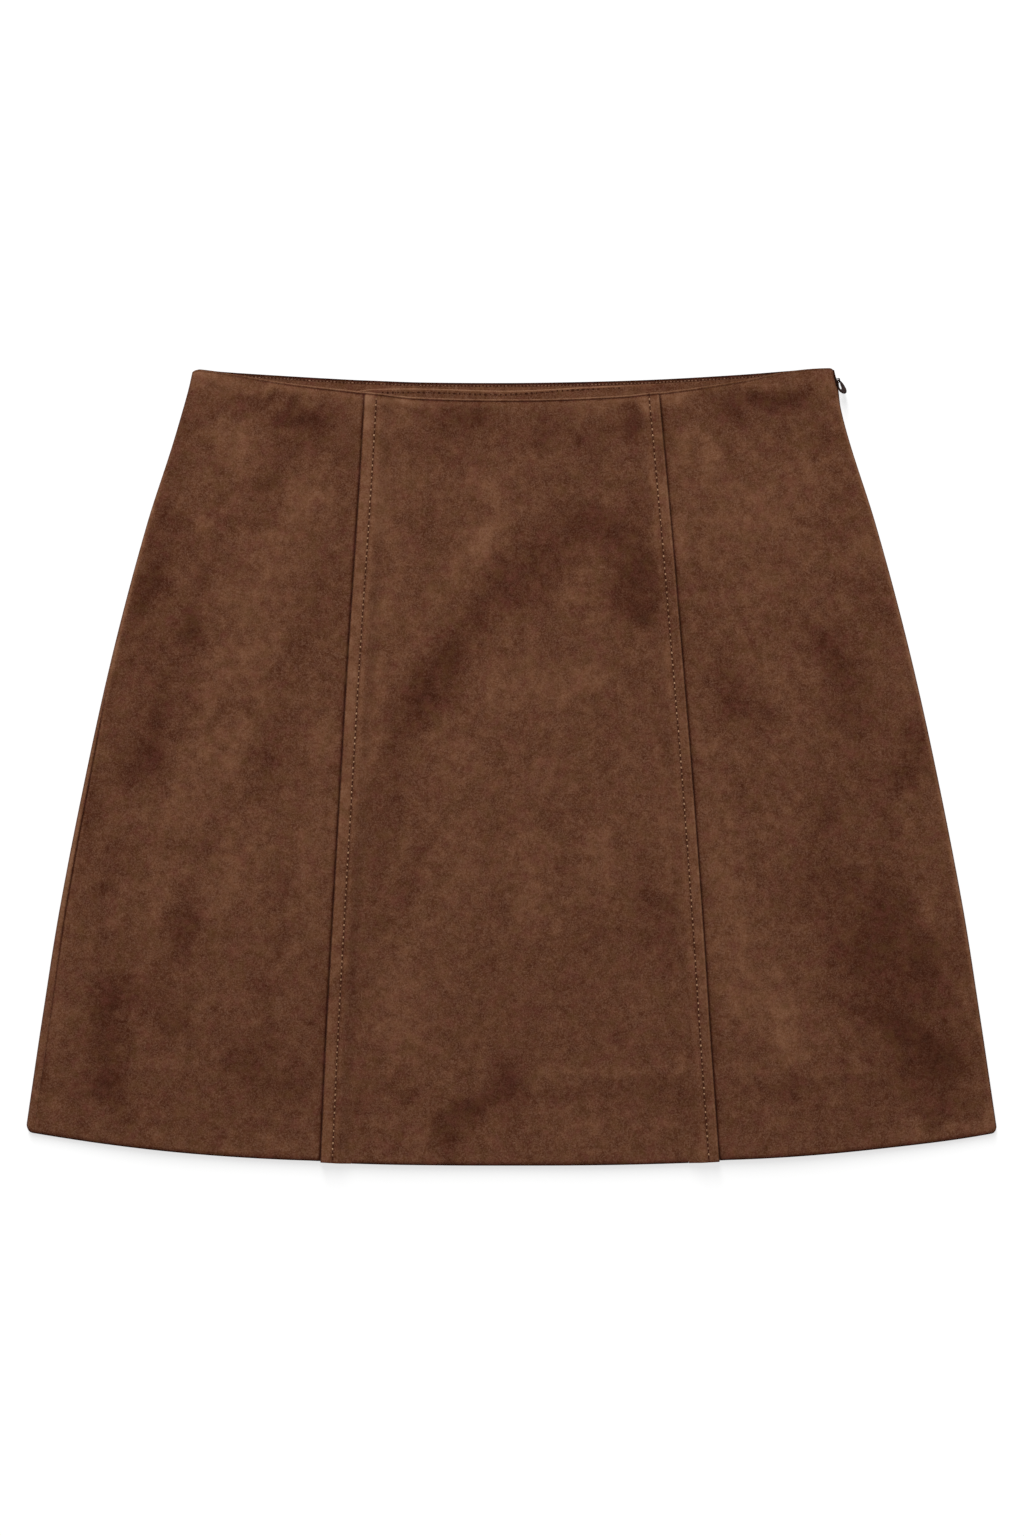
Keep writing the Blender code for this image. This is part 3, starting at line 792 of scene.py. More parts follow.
def thicken(piece, rim=RIM_ROUND):
    """Gives a cloth piece its wall, with a rounded rim."""
    wall = piece.modifiers.new("wall", "SOLIDIFY")
    wall.thickness = CLOTH
    wall.offset = 0.0
    wall.use_even_offset = True
    soft = piece.modifiers.new("rim", "BEVEL")
    soft.width = rim
    soft.segments = RIM_STEPS
    soft.limit_method = "ANGLE"
    soft.angle_limit = RIM_ANGLE


# --------------------------------------------------------------------- shader building


class Value:
    """A number, colour or vector that varies over a surface. Arithmetic on a number adds
    Math nodes; a colour or vector goes through mix and vector."""

    def __init__(self, finish, socket):
        self.finish = finish
        self.socket = socket

    def math(self, operation, *values):
        """A Math node on these values."""
        inputs = dict(enumerate(values))
        return self.finish.add("ShaderNodeMath", {"operation": operation}, inputs)

    def vector(self, operation, other):
        """A Vector Math node on this vector and another, or a scale."""
        inputs = {0: self, "Scale" if operation == "SCALE" else 1: other}
        return self.finish.add("ShaderNodeVectorMath", {"operation": operation}, inputs)

    def mix(self, other, share):
        """This colour mixed toward another by a share."""
        settings = {"data_type": "RGBA", "clamp_factor": True}
        inputs = {"Factor": share, 6: self, 7: other}
        return self.finish.add("ShaderNodeMix", settings, inputs, output=2)

    def __add__(self, other):
        return self.math("ADD", self, other)

    def __radd__(self, other):
        return self.math("ADD", other, self)

    def __sub__(self, other):
        return self.math("SUBTRACT", self, other)

    def __rsub__(self, other):
        return self.math("SUBTRACT", other, self)

    def __mul__(self, other):
        return self.math("MULTIPLY", self, other)

    def __rmul__(self, other):
        return self.math("MULTIPLY", other, self)


class Finish:
    """A material being made: its node tree and the shader that it feeds."""

    def __init__(self, name):
        self.material = bpy.data.materials.new(name)
        self.material.use_nodes = True
        self.nodes = self.material.node_tree.nodes
        self.shader = self.nodes["Principled BSDF"]

    def add(self, kind, settings=None, inputs=None, output=0):
        """A node of a kind: its settings first, then the values or links of its sockets."""
        node = self.nodes.new(kind)
        for key, value in (settings or {}).items():
            if key == "stops":
                self.set_stops(node.color_ramp, value)
            else:
                setattr(node, key, value)
        for key, value in (inputs or {}).items():
            self.put(node.inputs[key], value)
        return Value(self, node.outputs[output])

    def put(self, socket, value):
        """Links a value to a socket, or sets it there."""
        if isinstance(value, Value):
            self.material.node_tree.links.new(value.socket, socket)
        else:
            socket.default_value = value

    def set_stops(self, ramp, stops):
        """The stops of a colour ramp, as (place, colour)."""
        while len(ramp.elements) < len(stops):
            ramp.elements.new(1.0)
        for element, (place, colour) in zip(ramp.elements, stops):
            element.position = place
            element.color = (*colour, 1.0)

    def set(self, **sockets):
        """Sets or links the shader's sockets, named with _ for a space."""
        for key, value in sockets.items():
            self.put(self.shader.inputs[key.replace("_", " ")], value)

    def place(self):
        """Where a point is on the garment, in millimetres."""
        where = self.add("ShaderNodeTexCoord", output=3)
        return where.vector("SCALE", 1000.0)

    def noise(self, place, size, detail=2.0, roughness=0.5, swirl=0.0):
        """Noise round 0, about -0.5 to 0.5, with lumps of a size in millimetres."""
        inputs = {"Vector": place, "Scale": 1 / size, "Detail": detail, "Roughness": roughness}
        inputs["Distortion"] = swirl
        return self.add("ShaderNodeTexNoise", {"normalize": True}, inputs) - 0.5

    def bump(self, height, distance, strength=1.0):
        """A normal from a height, which stands for a distance in metres."""
        inputs = {"Height": height, "Distance": distance, "Strength": strength}
        return self.add("ShaderNodeBump", None, inputs)


def colour(red, green, blue):
    """A colour given in the usual 0 to 255 steps, as the light values that a shader takes."""
    def light(step):
        share = step / 255
        return share / 12.92 if share <= 0.04045 else ((share + 0.055) / 1.055) ** 2.4

    return light(red), light(green), light(blue)


# ----------------------------------------------------------------------------- finishes

# How the nap was brushed, with painted light on the laps' raised strips: a row for each
# mark with its middle, its half length and half width in millimetres, its turn in degrees,
# and how much darker (-) or lighter (+) it is
Mark = namedtuple("Mark", "x y length width turn tone")
SUEDE_MARKS = tuple(Mark(*row) for row in (
    # the broad lanes that the hand left: up to the right, and down to the right past
    # the middle
    (-206, 84, 84, 14, 80, -0.55), (-196, 4, 50, 15, 74, -0.35), (-157, 36, 118, 15, 70, 0.45),
    (-121, 64, 74, 9, 66, -0.40), (-172, -58, 54, 9, 68, -0.45), (-136, -36, 58, 11, 62, 0.35),
    (-226, -150, 46, 13, 84, -0.35), (-185, -168, 84, 32, 0, -0.25),
    (-76, -38, 62, 11, 78, -0.30), (-52, -68, 80, 10, 76, 0.35), (-37, 103, 52, 9, 58, 0.40),
    (20, 186, 66, 12, 0, -0.30), (28, 120, 58, 16, 40, -0.25), (70, 105, 46, 14, -68, -0.30),
    (-40, 52, 46, 14, 58, -0.30), (10, 46, 52, 17, 10, 0.25), (52, -30, 60, 10, -76, 0.30),
    (70, -75, 40, 9, -70, -0.35), (10, -130, 90, 34, 0, -0.20), (30, 190, 60, 8, 0, -0.20),
    (138, 140, 62, 38, 0, 0.25), (128, 42, 28, 13, -48, -0.35), (186, 40, 56, 13, -70, -0.35),
    (216, -108, 66, 30, -52, -0.60), (140, -138, 44, 18, -42, 0.45),
    (160, 10, 60, 9, -60, 0.25), (118, -66, 60, 10, -82, 0.30),
    # the bent dark stroke over the middle of the centre front
    (40, 136, 20, 9, -4, -0.80), (14, 118, 16, 11, 30, -0.60), (2, 104, 22, 13, 10, -0.50),
    (-5, 92, 14, 7, 20, -0.50), (-19, 84, 8, 5, 60, -0.65), (-32, 64, 12, 7, 68, -0.90),
    (-43, 48, 16, 11, 50, -0.95), (-46, 31, 18, 9, 25, -0.80), (-58, 40, 10, 9, 0, -0.45),
    (-68, 10, 14, 6, 70, -0.35), (66, 118, 20, 12, -60, -0.80), (71, 97, 17, 12, -85, -0.85),
    (72, 85, 8, 7, 0, -0.60), (75, 145, 10, 6, 90, -0.35),
    # the top of the centre front
    (-31, 194, 15, 8, 0, -0.70), (-22, 196, 4, 4, 0, -0.80), (-52, 180, 10, 6, 0, -0.30),
    (-30, 172, 8, 4, 0, -0.35), (20, 192, 8, 6, 60, -0.40), (12, 184, 6, 8, 0, -0.30),
    (42, 183, 9, 4, 0, -0.40), (65, 195, 10, 8, -60, -0.95), (68, 188, 4, 5, 0, -0.60),
    (45, 198, 9, 4, 0, 0.35), (30, 172, 10, 4, 0, 0.30), (50, 152, 14, 4, -10, 0.40),
    (10, 160, 10, 6, -45, 0.30), (-66, 193, 12, 8, 0, 0.50), (-72, 148, 20, 8, 82, 0.45),
    (-14, 157, 9, 7, 60, 0.70), (-10, 138, 12, 5, 70, 0.70), (-18, 119, 18, 6, 52, 0.80),
    (-62, 110, 16, 8, 90, 0.40), (-30, 100, 9, 8, 0, 0.35), (-48, 120, 11, 9, 0, -0.30),
    (-46, 136, 12, 5, 0, -0.30),
    # inside the bend and below it
    (36, 104, 15, 7, 55, 0.50), (32, 92, 6, 6, 0, 0.40), (48, 86, 8, 8, 0, 0.40),
    (24, 68, 7, 5, 0, -0.45), (20, 44, 32, 7, 8, 0.50), (47, 52, 6, 5, 0, 0.40),
    (66, 49, 8, 6, 0, -0.40), (45, 28, 12, 6, 0, -0.30), (-5, 52, 12, 5, 20, 0.40),
    (-30, 6, 14, 10, 0, 0.35), (68, 5, 8, 4, 0, 0.35), (8, -6, 20, 9, 10, 0.30),
    (22, -30, 7, 6, 0, -0.40), (-10, -20, 3, 5, 0, -0.50), (-8, -37, 4, 4, 0, -0.45),
    # the lower half of the centre front
    (-52, -50, 10, 6, 80, -0.45), (-56, -72, 8, 5, 70, -0.60), (-70, -89, 7, 6, 0, -0.45),
    (-65, -30, 14, 11, 90, -0.25), (-28, -52, 18, 9, 70, 0.45), (10, -50, 22, 12, 85, 0.35),
    (15, -81, 12, 12, 0, 0.45), (48, -48, 22, 7, 82, 0.60), (31, -55, 6, 5, 90, -0.40),
    (75, -60, 12, 7, 90, -0.35), (80, -77, 9, 6, 0, -0.65), (86, -96, 13, 9, 70, -0.50),
    (86, -30, 24, 6, 86, 0.45), (52, -92, 14, 9, 0, -0.40), (5, -105, 10, 5, 0, -0.35),
    (8, -122, 8, 8, 0, 0.35), (72, -130, 10, 8, 90, 0.35), (60, -150, 5, 5, 0, -0.50),
    (-92, -121, 10, 5, 0, -0.40), (-62, -122, 10, 9, 0, 0.45), (-58, -146, 16, 12, 62, 0.45),
    # the darker and lighter marks over the hem
    (-24, -192, 13, 6, 15, -1.25), (-9, -182, 15, 8, 20, -0.95), (-2, -171, 7, 6, 60, -0.95),
    (-36, -208, 13, 4, -80, -0.95), (-60, -183, 11, 5, 0, -0.60), (-86, -188, 9, 6, 0, -0.45),
    (-8, -200, 9, 4, 80, 0.55), (-50, -205, 12, 8, 90, 0.40), (-48, -175, 9, 5, 0, 0.35),
    (60, -181, 50, 5, 0, -0.45), (62, -169, 44, 3, 0, 0.25), (25, -171, 15, 6, 0, 0.25),
    (28, -200, 11, 8, 70, 0.50), (85, -200, 7, 5, 0, 0.45), (95, -190, 12, 9, 90, -0.35),
    # along the laps: lighter, partly from the nap and partly painted light on the raised strips
    (-79, 160, 46, 5, 87, 0.60), (-86, 70, 50, 4, 86, 0.50), (-93, -20, 30, 4, 86, 0.50),
    (-68, 204, 17, 3, -3, 1.10), (77, 201, 6, 4, 0, 1.10), (84, 152, 11, 3, -80, 1.20),
    (87, 60, 7, 3, 85, 0.80), (99, -32, 6, 3, 90, 1.00), (102, -60, 10, 3, 88, 0.60),
    (108, -212, 9, 5, 0, 0.40), (93, 205, 8, 4, -5, 1.00), (95, 128, 20, 4, -86, 0.60),
    # the side front on the right, from its top
    (152, 206, 14, 5, 5, -1.35), (137, 203, 10, 4, 5, -1.00), (121, 200, 9, 6, -50, -1.15),
    (130, 190, 8, 4, -50, -0.50), (106, 206, 5, 4, 0, -0.50), (167, 203, 6, 5, 0, -0.50),
    (150, 190, 24, 6, 0, -0.25), (175, 185, 9, 5, -60, -0.45), (100, 178, 10, 8, 0, 0.60),
    (113, 177, 6, 4, 20, 0.75), (105, 165, 14, 6, 0, 0.35), (164, 165, 15, 8, -20, 0.40),
    (134, 139, 23, 10, 5, 0.55), (130, 155, 16, 4, 0, 0.40), (188, 122, 9, 8, 0, 0.60),
    (145, 105, 11, 7, 0, 0.30), (128, 90, 14, 10, 0, 0.25), (181, 152, 9, 7, -45, -0.50),
    (172, 135, 9, 7, 0, -0.50), (186, 105, 6, 5, 0, -0.60), (203, 92, 18, 7, -64, -0.50),
    (105, 105, 9, 7, 0, -0.45), (180, 62, 15, 9, -70, -0.75), (187, 47, 11, 7, -70, -0.60),
    (172, 73, 8, 8, 0, -0.45), (185, 30, 10, 8, 0, -0.35), (124, 43, 13, 8, -30, -0.75),
    (121, 31, 8, 6, 90, -0.50), (138, 28, 10, 8, 0, -0.50), (150, 52, 15, 11, 0, 0.30),
    (108, 12, 7, 6, 0, 0.40), (225, 14, 16, 7, -75, -0.80), (216, -4, 12, 9, 0, -0.90),
    (196, 25, 12, 10, 0, -0.40), (212, -30, 24, 6, 80, -0.50), (175, -30, 13, 7, 80, -0.45),
    (190, -20, 20, 13, 80, -0.25), (180, -60, 12, 8, 0, -0.45), (125, -8, 8, 4, 80, -0.40),
    (150, -13, 5, 5, 0, -0.50), (150, -30, 9, 6, 0, 0.35), (122, -58, 34, 9, -82, 0.45),
    (135, -95, 10, 6, 0, 0.35), (128, -128, 8, 6, 0, 0.60), (150, -126, 12, 9, -50, 0.50),
    (152, -148, 17, 8, -52, 0.80), (156, -156, 8, 5, 0, 0.40), (129, -170, 12, 5, 0, 0.60),
    (168, -125, 9, 3, -30, -0.45), (170, -70, 20, 13, 0, -0.35), (210, -85, 17, 13, 30, -0.95),
    (205, -72, 6, 5, 0, -0.45), (192, -106, 14, 10, 0, -0.75), (212, -113, 14, 10, 0, -0.65),
    (230, -108, 18, 9, 88, -0.70), (205, -130, 22, 9, 0, -0.60), (198, -137, 12, 3, -24, -0.70),
    (224, -149, 21, 7, -26, -1.30), (238, -165, 12, 9, -20, -1.25), (241, -176, 9, 5, 0, -0.60),
    (217, -161, 9, 8, 0, -0.70), (225, -186, 24, 9, 0, -0.45), (234, -72, 16, 4, 80, 0.60),
    (255, -140, 14, 4, -78, 0.45), (225, -205, 7, 5, 0, 0.80), (247, -202, 14, 4, 8, 0.75),
    (265, -199, 7, 4, 80, 0.80), (150, -195, 6, 5, 0, 0.50), (130, -187, 7, 6, 0, 0.35),
    (155, -182, 6, 5, -50, -0.60), (176, -176, 24, 4, 0, -0.45), (138, -178, 14, 3, 0, -0.40),
    (186, -169, 20, 3, 0, 0.30),
    # the side front on the left, from its top
    (-138, 212, 40, 4, -7, 1.00), (-172, 216, 8, 4, 0, 0.80), (-110, 196, 13, 8, 0, -1.20),
    (-127, 195, 6, 5, 0, -0.70), (-138, 207, 8, 3, 0, -0.90), (-142, 200, 30, 6, -5, -0.45),
    (-128, 172, 18, 7, 62, -0.45), (-154, 178, 13, 9, -60, 0.80), (-134, 157, 6, 5, 0, -0.75),
    (-135, 136, 9, 3, -20, -0.85), (-150, 138, 11, 4, 0, -0.50), (-116, 150, 18, 8, 50, 0.65),
    (-138, 124, 16, 11, 60, 0.55), (-175, 158, 14, 6, 0, 0.40), (-175, 135, 8, 6, 0, 0.50),
    (-190, 142, 11, 6, -50, -0.60), (-200, 116, 14, 6, 85, -0.50), (-203, 101, 9, 8, 0, -0.65),
    (-209, 90, 8, 6, 0, -0.50), (-181, 76, 8, 6, 90, -1.05), (-172, 107, 9, 5, 90, -0.45),
    (-160, 118, 6, 5, 0, -0.50), (-155, 92, 14, 8, 0, 0.50), (-152, 60, 16, 8, 10, 0.50),
    (-168, 38, 12, 5, 90, 0.55), (-138, 42, 10, 6, 0, 0.50), (-155, 35, 7, 4, 0, -0.55),
    (-165, 28, 7, 5, 80, -0.50), (-166, 8, 14, 9, 20, 0.45), (-149, 16, 8, 5, 80, 0.40),
    (-105, 15, 8, 8, 0, 0.45), (-138, 6, 14, 9, 0, -0.55), (-140, -9, 14, 9, -60, -0.50),
    (-131, -32, 10, 5, 90, -0.45), (-125, 26, 10, 8, 0, -0.30), (-194, 28, 9, 8, 0, -1.00),
    (-200, 13, 9, 6, 80, -0.75), (-206, 2, 14, 9, 20, -0.75), (-192, 49, 14, 6, 80, -0.45),
    (-228, 14, 9, 4, 75, 0.40), (-236, -20, 9, 4, 76, -0.75), (-238, -37, 6, 3, 76, -0.85),
    (-187, -14, 19, 13, 60, 0.45), (-220, -26, 7, 5, 0, 0.45), (-164, -62, 15, 12, 70, 0.50),
    (-162, -42, 6, 5, 0, 0.35), (-112, -44, 18, 9, 82, 0.50), (-180, -43, 12, 6, 0, -0.55),
    (-183, -91, 13, 7, 80, -1.00), (-222, -48, 8, 6, 90, -0.55), (-226, -65, 9, 6, 0, -0.50),
    (-230, -95, 14, 6, 84, -0.35), (-222, -125, 14, 9, 10, -0.90), (-226, -134, 8, 7, 0, -0.60),
    (-201, -131, 11, 9, 0, -0.55), (-188, -144, 8, 7, 0, -0.75), (-225, -160, 26, 9, 88, -0.75),
    (-232, -177, 7, 5, 30, -0.90), (-217, -187, 12, 8, 80, -0.65),
    (-241, -183, 10, 3, 0, -0.45), (-193, -162, 7, 4, 0, 0.45), (-172, -148, 27, 5, 82, 0.35),
    (-137, -148, 8, 5, 80, -0.70), (-152, -166, 11, 8, 0, -0.50), (-126, -178, 14, 9, 0, -0.45),
    (-132, -170, 24, 13, 0, -0.30), (-130, -126, 11, 6, 0, -0.40), (-131, -66, 8, 8, 0, -0.50),
    (-132, -96, 7, 6, 0, -0.60), (-130, -210, 20, 5, -3, 0.50), (-231, -195, 6, 5, 0, 0.45),
    (-197, -205, 6, 4, 0, 0.45), (-255, -188, 9, 6, 80, 0.35), (-256, -150, 20, 4, 78, 0.45),
    (-246, -95, 20, 4, 78, 0.35),
    # softer brushings over the rest
    (-108, 204, 8, 5, 0, -0.30), (-108, 184, 10, 6, 60, -0.35), (-95, 175, 6, 6, 0, -0.25),
    (-184, 195, 8, 8, 0, -0.30), (-178, 88, 28, 5, 86, -0.35), (-158, 32, 14, 6, 72, -0.30),
    (-176, -4, 8, 6, 0, -0.30), (-135, 155, 8, 6, 0, -0.30), (-128, -18, 9, 7, 60, -0.30),
    (-100, 45, 7, 9, 0, -0.25), (-110, -138, 14, 6, 48, -0.35), (-162, -95, 8, 8, 0, -0.25),
    (-185, -108, 8, 8, 0, -0.25), (-170, -149, 18, 6, 0, -0.25), (-233, -74, 14, 6, 60, -0.25),
    (-247, -110, 10, 5, 80, -0.25), (-262, -166, 16, 5, 70, -0.30), (-147, 14, 22, 7, 72, 0.40),
    (-158, -38, 18, 7, 82, 0.30), (-208, 116, 8, 6, 0, 0.30), (-195, 140, 7, 7, 0, 0.25),
    (-165, 185, 8, 6, 0, 0.25), (-212, 43, 8, 6, 0, 0.25), (-202, -30, 8, 7, 0, 0.30),
    (-108, -80, 20, 6, 85, 0.30), (-94, -32, 14, 6, -70, 0.25), (-232, -163, 8, 7, 0, 0.30),
    (-222, -188, 8, 7, 0, 0.30), (-120, -164, 8, 6, 0, 0.25), (-45, 198, 8, 5, 0, -0.30),
    (-26, 168, 8, 5, 0, -0.25), (13, 161, 16, 5, -12, -0.30), (40, 175, 8, 5, 0, -0.25),
    (38, 112, 11, 8, 30, -0.50), (22, 88, 7, 6, 0, -0.25), (49, 8, 20, 7, 88, -0.25),
    (0, -8, 9, 6, 0, -0.30), (-58, -5, 7, 9, 0, -0.25), (-55, -66, 20, 6, 72, -0.25),
    (-70, -118, 7, 7, 0, -0.25), (-18, -199, 12, 6, 20, -0.45), (2, -186, 8, 6, 0, -0.25),
    (86, -174, 9, 8, 0, -0.30), (-82, 200, 6, 5, 0, 0.25), (-71, 148, 30, 5, 88, 0.30),
    (-73, 82, 9, 5, 88, 0.45), (-79, 34, 22, 5, 84, 0.50), (-60, 30, 7, 7, 0, 0.25),
    (22, 193, 28, 4, 0, 0.30), (10, 119, 8, 7, 0, 0.25), (-20, 90, 7, 7, 0, 0.25),
    (73, 100, 5, 7, 0, 0.30), (-42, -116, 14, 7, 45, 0.30), (-55, -155, 8, 7, 0, 0.25),
    (42, -202, 20, 6, 50, 0.25), (5, -55, 8, 7, 0, 0.25), (-25, -70, 8, 7, 0, 0.25),
    (-25, -5, 8, 6, 0, 0.25), (168, 2, 18, 7, -64, -0.40), (175, -28, 11, 7, 85, -0.40),
    (182, 128, 9, 8, 0, -0.50), (160, 197, 8, 5, 0, -0.25), (172, 179, 9, 6, 0, -0.30),
    (145, 172, 9, 6, 0, -0.25), (180, 155, 8, 6, 0, -0.25), (122, 92, 14, 6, 45, -0.30),
    (103, 145, 6, 7, 0, -0.25), (212, 75, 7, 6, 0, -0.25), (206, 45, 8, 7, 0, -0.25),
    (240, -45, 10, 5, -78, -0.25), (130, -56, 15, 7, -56, -0.30), (200, -65, 9, 7, 0, -0.25),
    (188, -168, 66, 32, 0, -0.22), (243, -184, 9, 6, 0, -0.30), (205, -150, 10, 6, 0, -0.25),
    (156, -148, 9, 7, 0, -0.35), (130, -160, 8, 7, 0, -0.30), (150, 213, 12, 4, 5, 0.50),
    (178, 210, 7, 6, 0, 0.55), (93, 125, 5, 9, 0, 0.25), (97, 57, 5, 9, 0, 0.25),
    (96, 180, 12, 6, 0, 0.25), (196, 118, 6, 7, 0, 0.25), (112, -95, 20, 6, -82, 0.30),
    (222, -118, 8, 6, 0, 0.30), (181, -110, 8, 6, 0, 0.25), (235, -159, 8, 5, -20, 0.35),
    (205, 0, 7, 7, 0, 0.25), (70, -192, 215, 26, 0, -0.10), (-70, 122, 34, 5, 88, 0.20),
    (-72, 84, 9, 6, 0, 0.35), (-76, 14, 12, 7, 0, 0.50), (-86, -20, 26, 5, 86, 0.25),
    (-154, -6, 16, 6, 78, 0.35), (-172, -80, 14, 7, 75, 0.22), (-232, -126, 7, 6, 0, 0.30),
    (-5, 180, 12, 7, 0, 0.30), (50, 196, 10, 6, 0, 0.50), (80, 204, 14, 5, 0, 0.35),
    (57, 150, 8, 6, 0, 0.30), (-14, 116, 7, 7, 0, 0.22), (175, 72, 8, 7, 0, 0.22),
    (100, -32, 7, 9, 0, 0.22), (70, -145, 7, 10, 0, 0.22), (203, -134, 9, 6, 0, 0.25),
    (-28, -127, 7, 6, 0, 0.22), (173, 215, 10, 5, 0, 0.40), (-186, 192, 8, 8, 0, -0.30),
    (-116, 178, 12, 7, 0, -0.30), (-95, 166, 6, 8, 0, -0.25), (-185, 135, 6, 9, 0, -0.22),
    (-135, 132, 7, 6, 0, -0.25), (-178, 72, 10, 12, 0, -0.30), (-156, 30, 15, 7, 65, -0.25),
    (-125, 4, 7, 9, 0, -0.30), (-203, -9, 8, 5, 0, -0.22), (42, 174, 10, 6, 0, -0.25),
    (24, 100, 13, 6, 55, -0.35), (40, 128, 9, 6, 0, -0.22), (25, 65, 8, 6, 0, -0.25),
    (-43, 104, 8, 7, 0, -0.22), (89, 105, 6, 9, 0, -0.25), (115, 85, 7, 7, 0, -0.25),
    (38, -22, 9, 10, 0, -0.22), (-46, -50, 8, 8, 60, -0.30), (-67, -76, 9, 7, 70, -0.30),
    (-70, -120, 7, 9, 0, -0.25), (-100, -132, 8, 7, 0, -0.22), (-240, -63, 8, 5, 78, -0.25),
    (-205, -102, 26, 8, 0, -0.20), (-180, -130, 14, 8, 0, -0.22), (-154, -148, 8, 7, 0, -0.25),
    (-262, -160, 12, 5, 78, -0.35), (-257, -184, 10, 6, 0, -0.45), (-33, -211, 12, 7, 0, -0.45),
    (-150, -205, 18, 7, 0, -0.20), (18, -189, 20, 6, 0, -0.22), (125, -216, 12, 4, 0, -0.25),
    (150, -125, 22, 6, 10, -0.22), (240, -107, 7, 10, 0, -0.25), (242, -194, 14, 9, 0, -0.50),
    (250, -166, 9, 6, 0, -0.30), (214, -173, 11, 7, 0, -0.25), (190, -200, 9, 6, 0, -0.22),
    (141, -194, 8, 7, 0, -0.22), (159, 199, 8, 6, 0, -0.30), (143, 170, 8, 7, 0, -0.25),
    (183, 122, 8, 8, 0, -0.30), (170, -8, 16, 12, 0, -0.25), (215, 12, 8, 7, 0, -0.25),
    (-83, 200, 5, 5, 0, 0.35), (-79, 50, 8, 7, 0, 0.40), (-72, 80, 9, 8, 0, 0.30),
    (-83, -2, 7, 10, 0, 0.40), (-151, 0, 7, 8, 0, 0.35), (-102, -25, 10, 6, 0, 0.25),
    (60, 203, 7, 10, 0, 0.45), (-44, 155, 7, 8, 0, 0.22), (-130, 36, 7, 9, 0, 0.22),
    (-211, 42, 7, 7, 0, 0.25), (-202, -28, 7, 8, 0, 0.25), (92, -70, 7, 10, 0, 0.22),
    (-87, -72, 5, 14, 0, 0.22), (56, -199, 8, 6, 0, 0.30), (40, -215, 16, 5, 0, 0.25),
    (-265, -164, 6, 10, 0, -0.40), (-104, 186, 14, 7, -20, -0.25), (-93, 170, 6, 9, 0, -0.30),
    (-160, -108, 9, 10, 0, -0.25), (-104, -122, 9, 8, 0, -0.22), (118, 195, 9, 6, -45, -0.30),
    (134, 206, 9, 4, 0, -0.22), (228, -172, 8, 7, 0, -0.30), (240, -196, 9, 6, 0, -0.25),
    (241, -130, 8, 8, 0, -0.22), (28, 159, 12, 6, 0, -0.25), (48, -16, 9, 12, 0, -0.22),
    (120, -32, 6, 12, 0, -0.22), (-254, -180, 9, 6, 0, -0.22), (-9, -198, 12, 6, 0, -0.25),
    (216, 72, 6, 9, 0, -0.22), (-185, 193, 6, 8, 0, -0.22), (-176, 42, 9, 7, 0, -0.25),
    (-174, -12, 7, 12, 0, -0.25), (160, -160, 60, 26, 0, -0.08),
))

# How far past its size a mark fades, how much of that is its soft edge, and how strongly
# all the marks show; then how far the marks drift, and over what distance
MARK_REACH = 1.8
MARK_CORE = 0.9
MARK_TONE = 1.15
DRIFT_LARGE = 17.0
DRIFT_LARGE_BY = 6.0
DRIFT_SMALL = 5.0
DRIFT_SMALL_BY = 3.5

# Streaks that the strokes leave along their way, in millimetres and degrees: up to the
# right on the left, down to the right past the bend
STREAK_WIDE = 6.0
STREAK_LONG = 26.0
STREAK_TONE = 0.4
STREAK_TURNS = (63, -57)
STREAK_BEND = (10.0, 80.0)

# On the back the marks are this far over to the right, in millimetres, and this much
# closer together
BACK_MARKS_OVER = 12
BACK_MARKS_CLOSER = 0.94


def drifted(x, y):
    """A place moved a little at random, which breaks up the edges of the marks."""
    large = noise.noise_vector(Vector((x, y, 0.0)) / DRIFT_LARGE)
    small = noise.noise_vector(Vector((x, y, 50.0)) / DRIFT_SMALL)
    moved = large * DRIFT_LARGE_BY + small * DRIFT_SMALL_BY
    return x + moved.x, y + moved.y


def marked_tone(points, marks):
    """The tone at each point: the sum of the brush marks and streaks there, with the painted
    light along the laps.
    """
    places = [(point.x * 1000, point.y * 1000) for point in points]
    moved = np.array([drifted(x, y) for x, y in places])
    tones = np.array([streaks(x, y) for x, y in places])
    for mark in marks:
        turn = math.radians(mark.turn)
        dx, dy = moved[:, 0] - mark.x, moved[:, 1] - mark.y
        lengthwise = (dx * math.cos(turn) + dy * math.sin(turn)) / (mark.length * MARK_REACH)
        crosswise = (dy * math.cos(turn) - dx * math.sin(turn)) / (mark.width * MARK_REACH)
        near = np.clip((1 - np.hypot(lengthwise, crosswise)) / MARK_CORE, 0.0, 1.0)
        tones += MARK_TONE * mark.tone * near * near * (3 - 2 * near)
    return tones


def streaks(x, y):
    """The tone of the faint streaks at a place."""
    start, end = STREAK_BEND
    share = smooth(clamp((x - start) / (end - start)))
    tone = 0.0
    for turn, part in zip(STREAK_TURNS, (1 - share, share)):
        way = Vector((math.cos(math.radians(turn)), math.sin(math.radians(turn))))
        lengthwise, crosswise = x * way.x + y * way.y, y * way.x - x * way.y
        at = Vector((lengthwise / STREAK_LONG, crosswise / STREAK_WIDE, turn))
        tone += part * noise.noise(at)
    return STREAK_TONE * tone


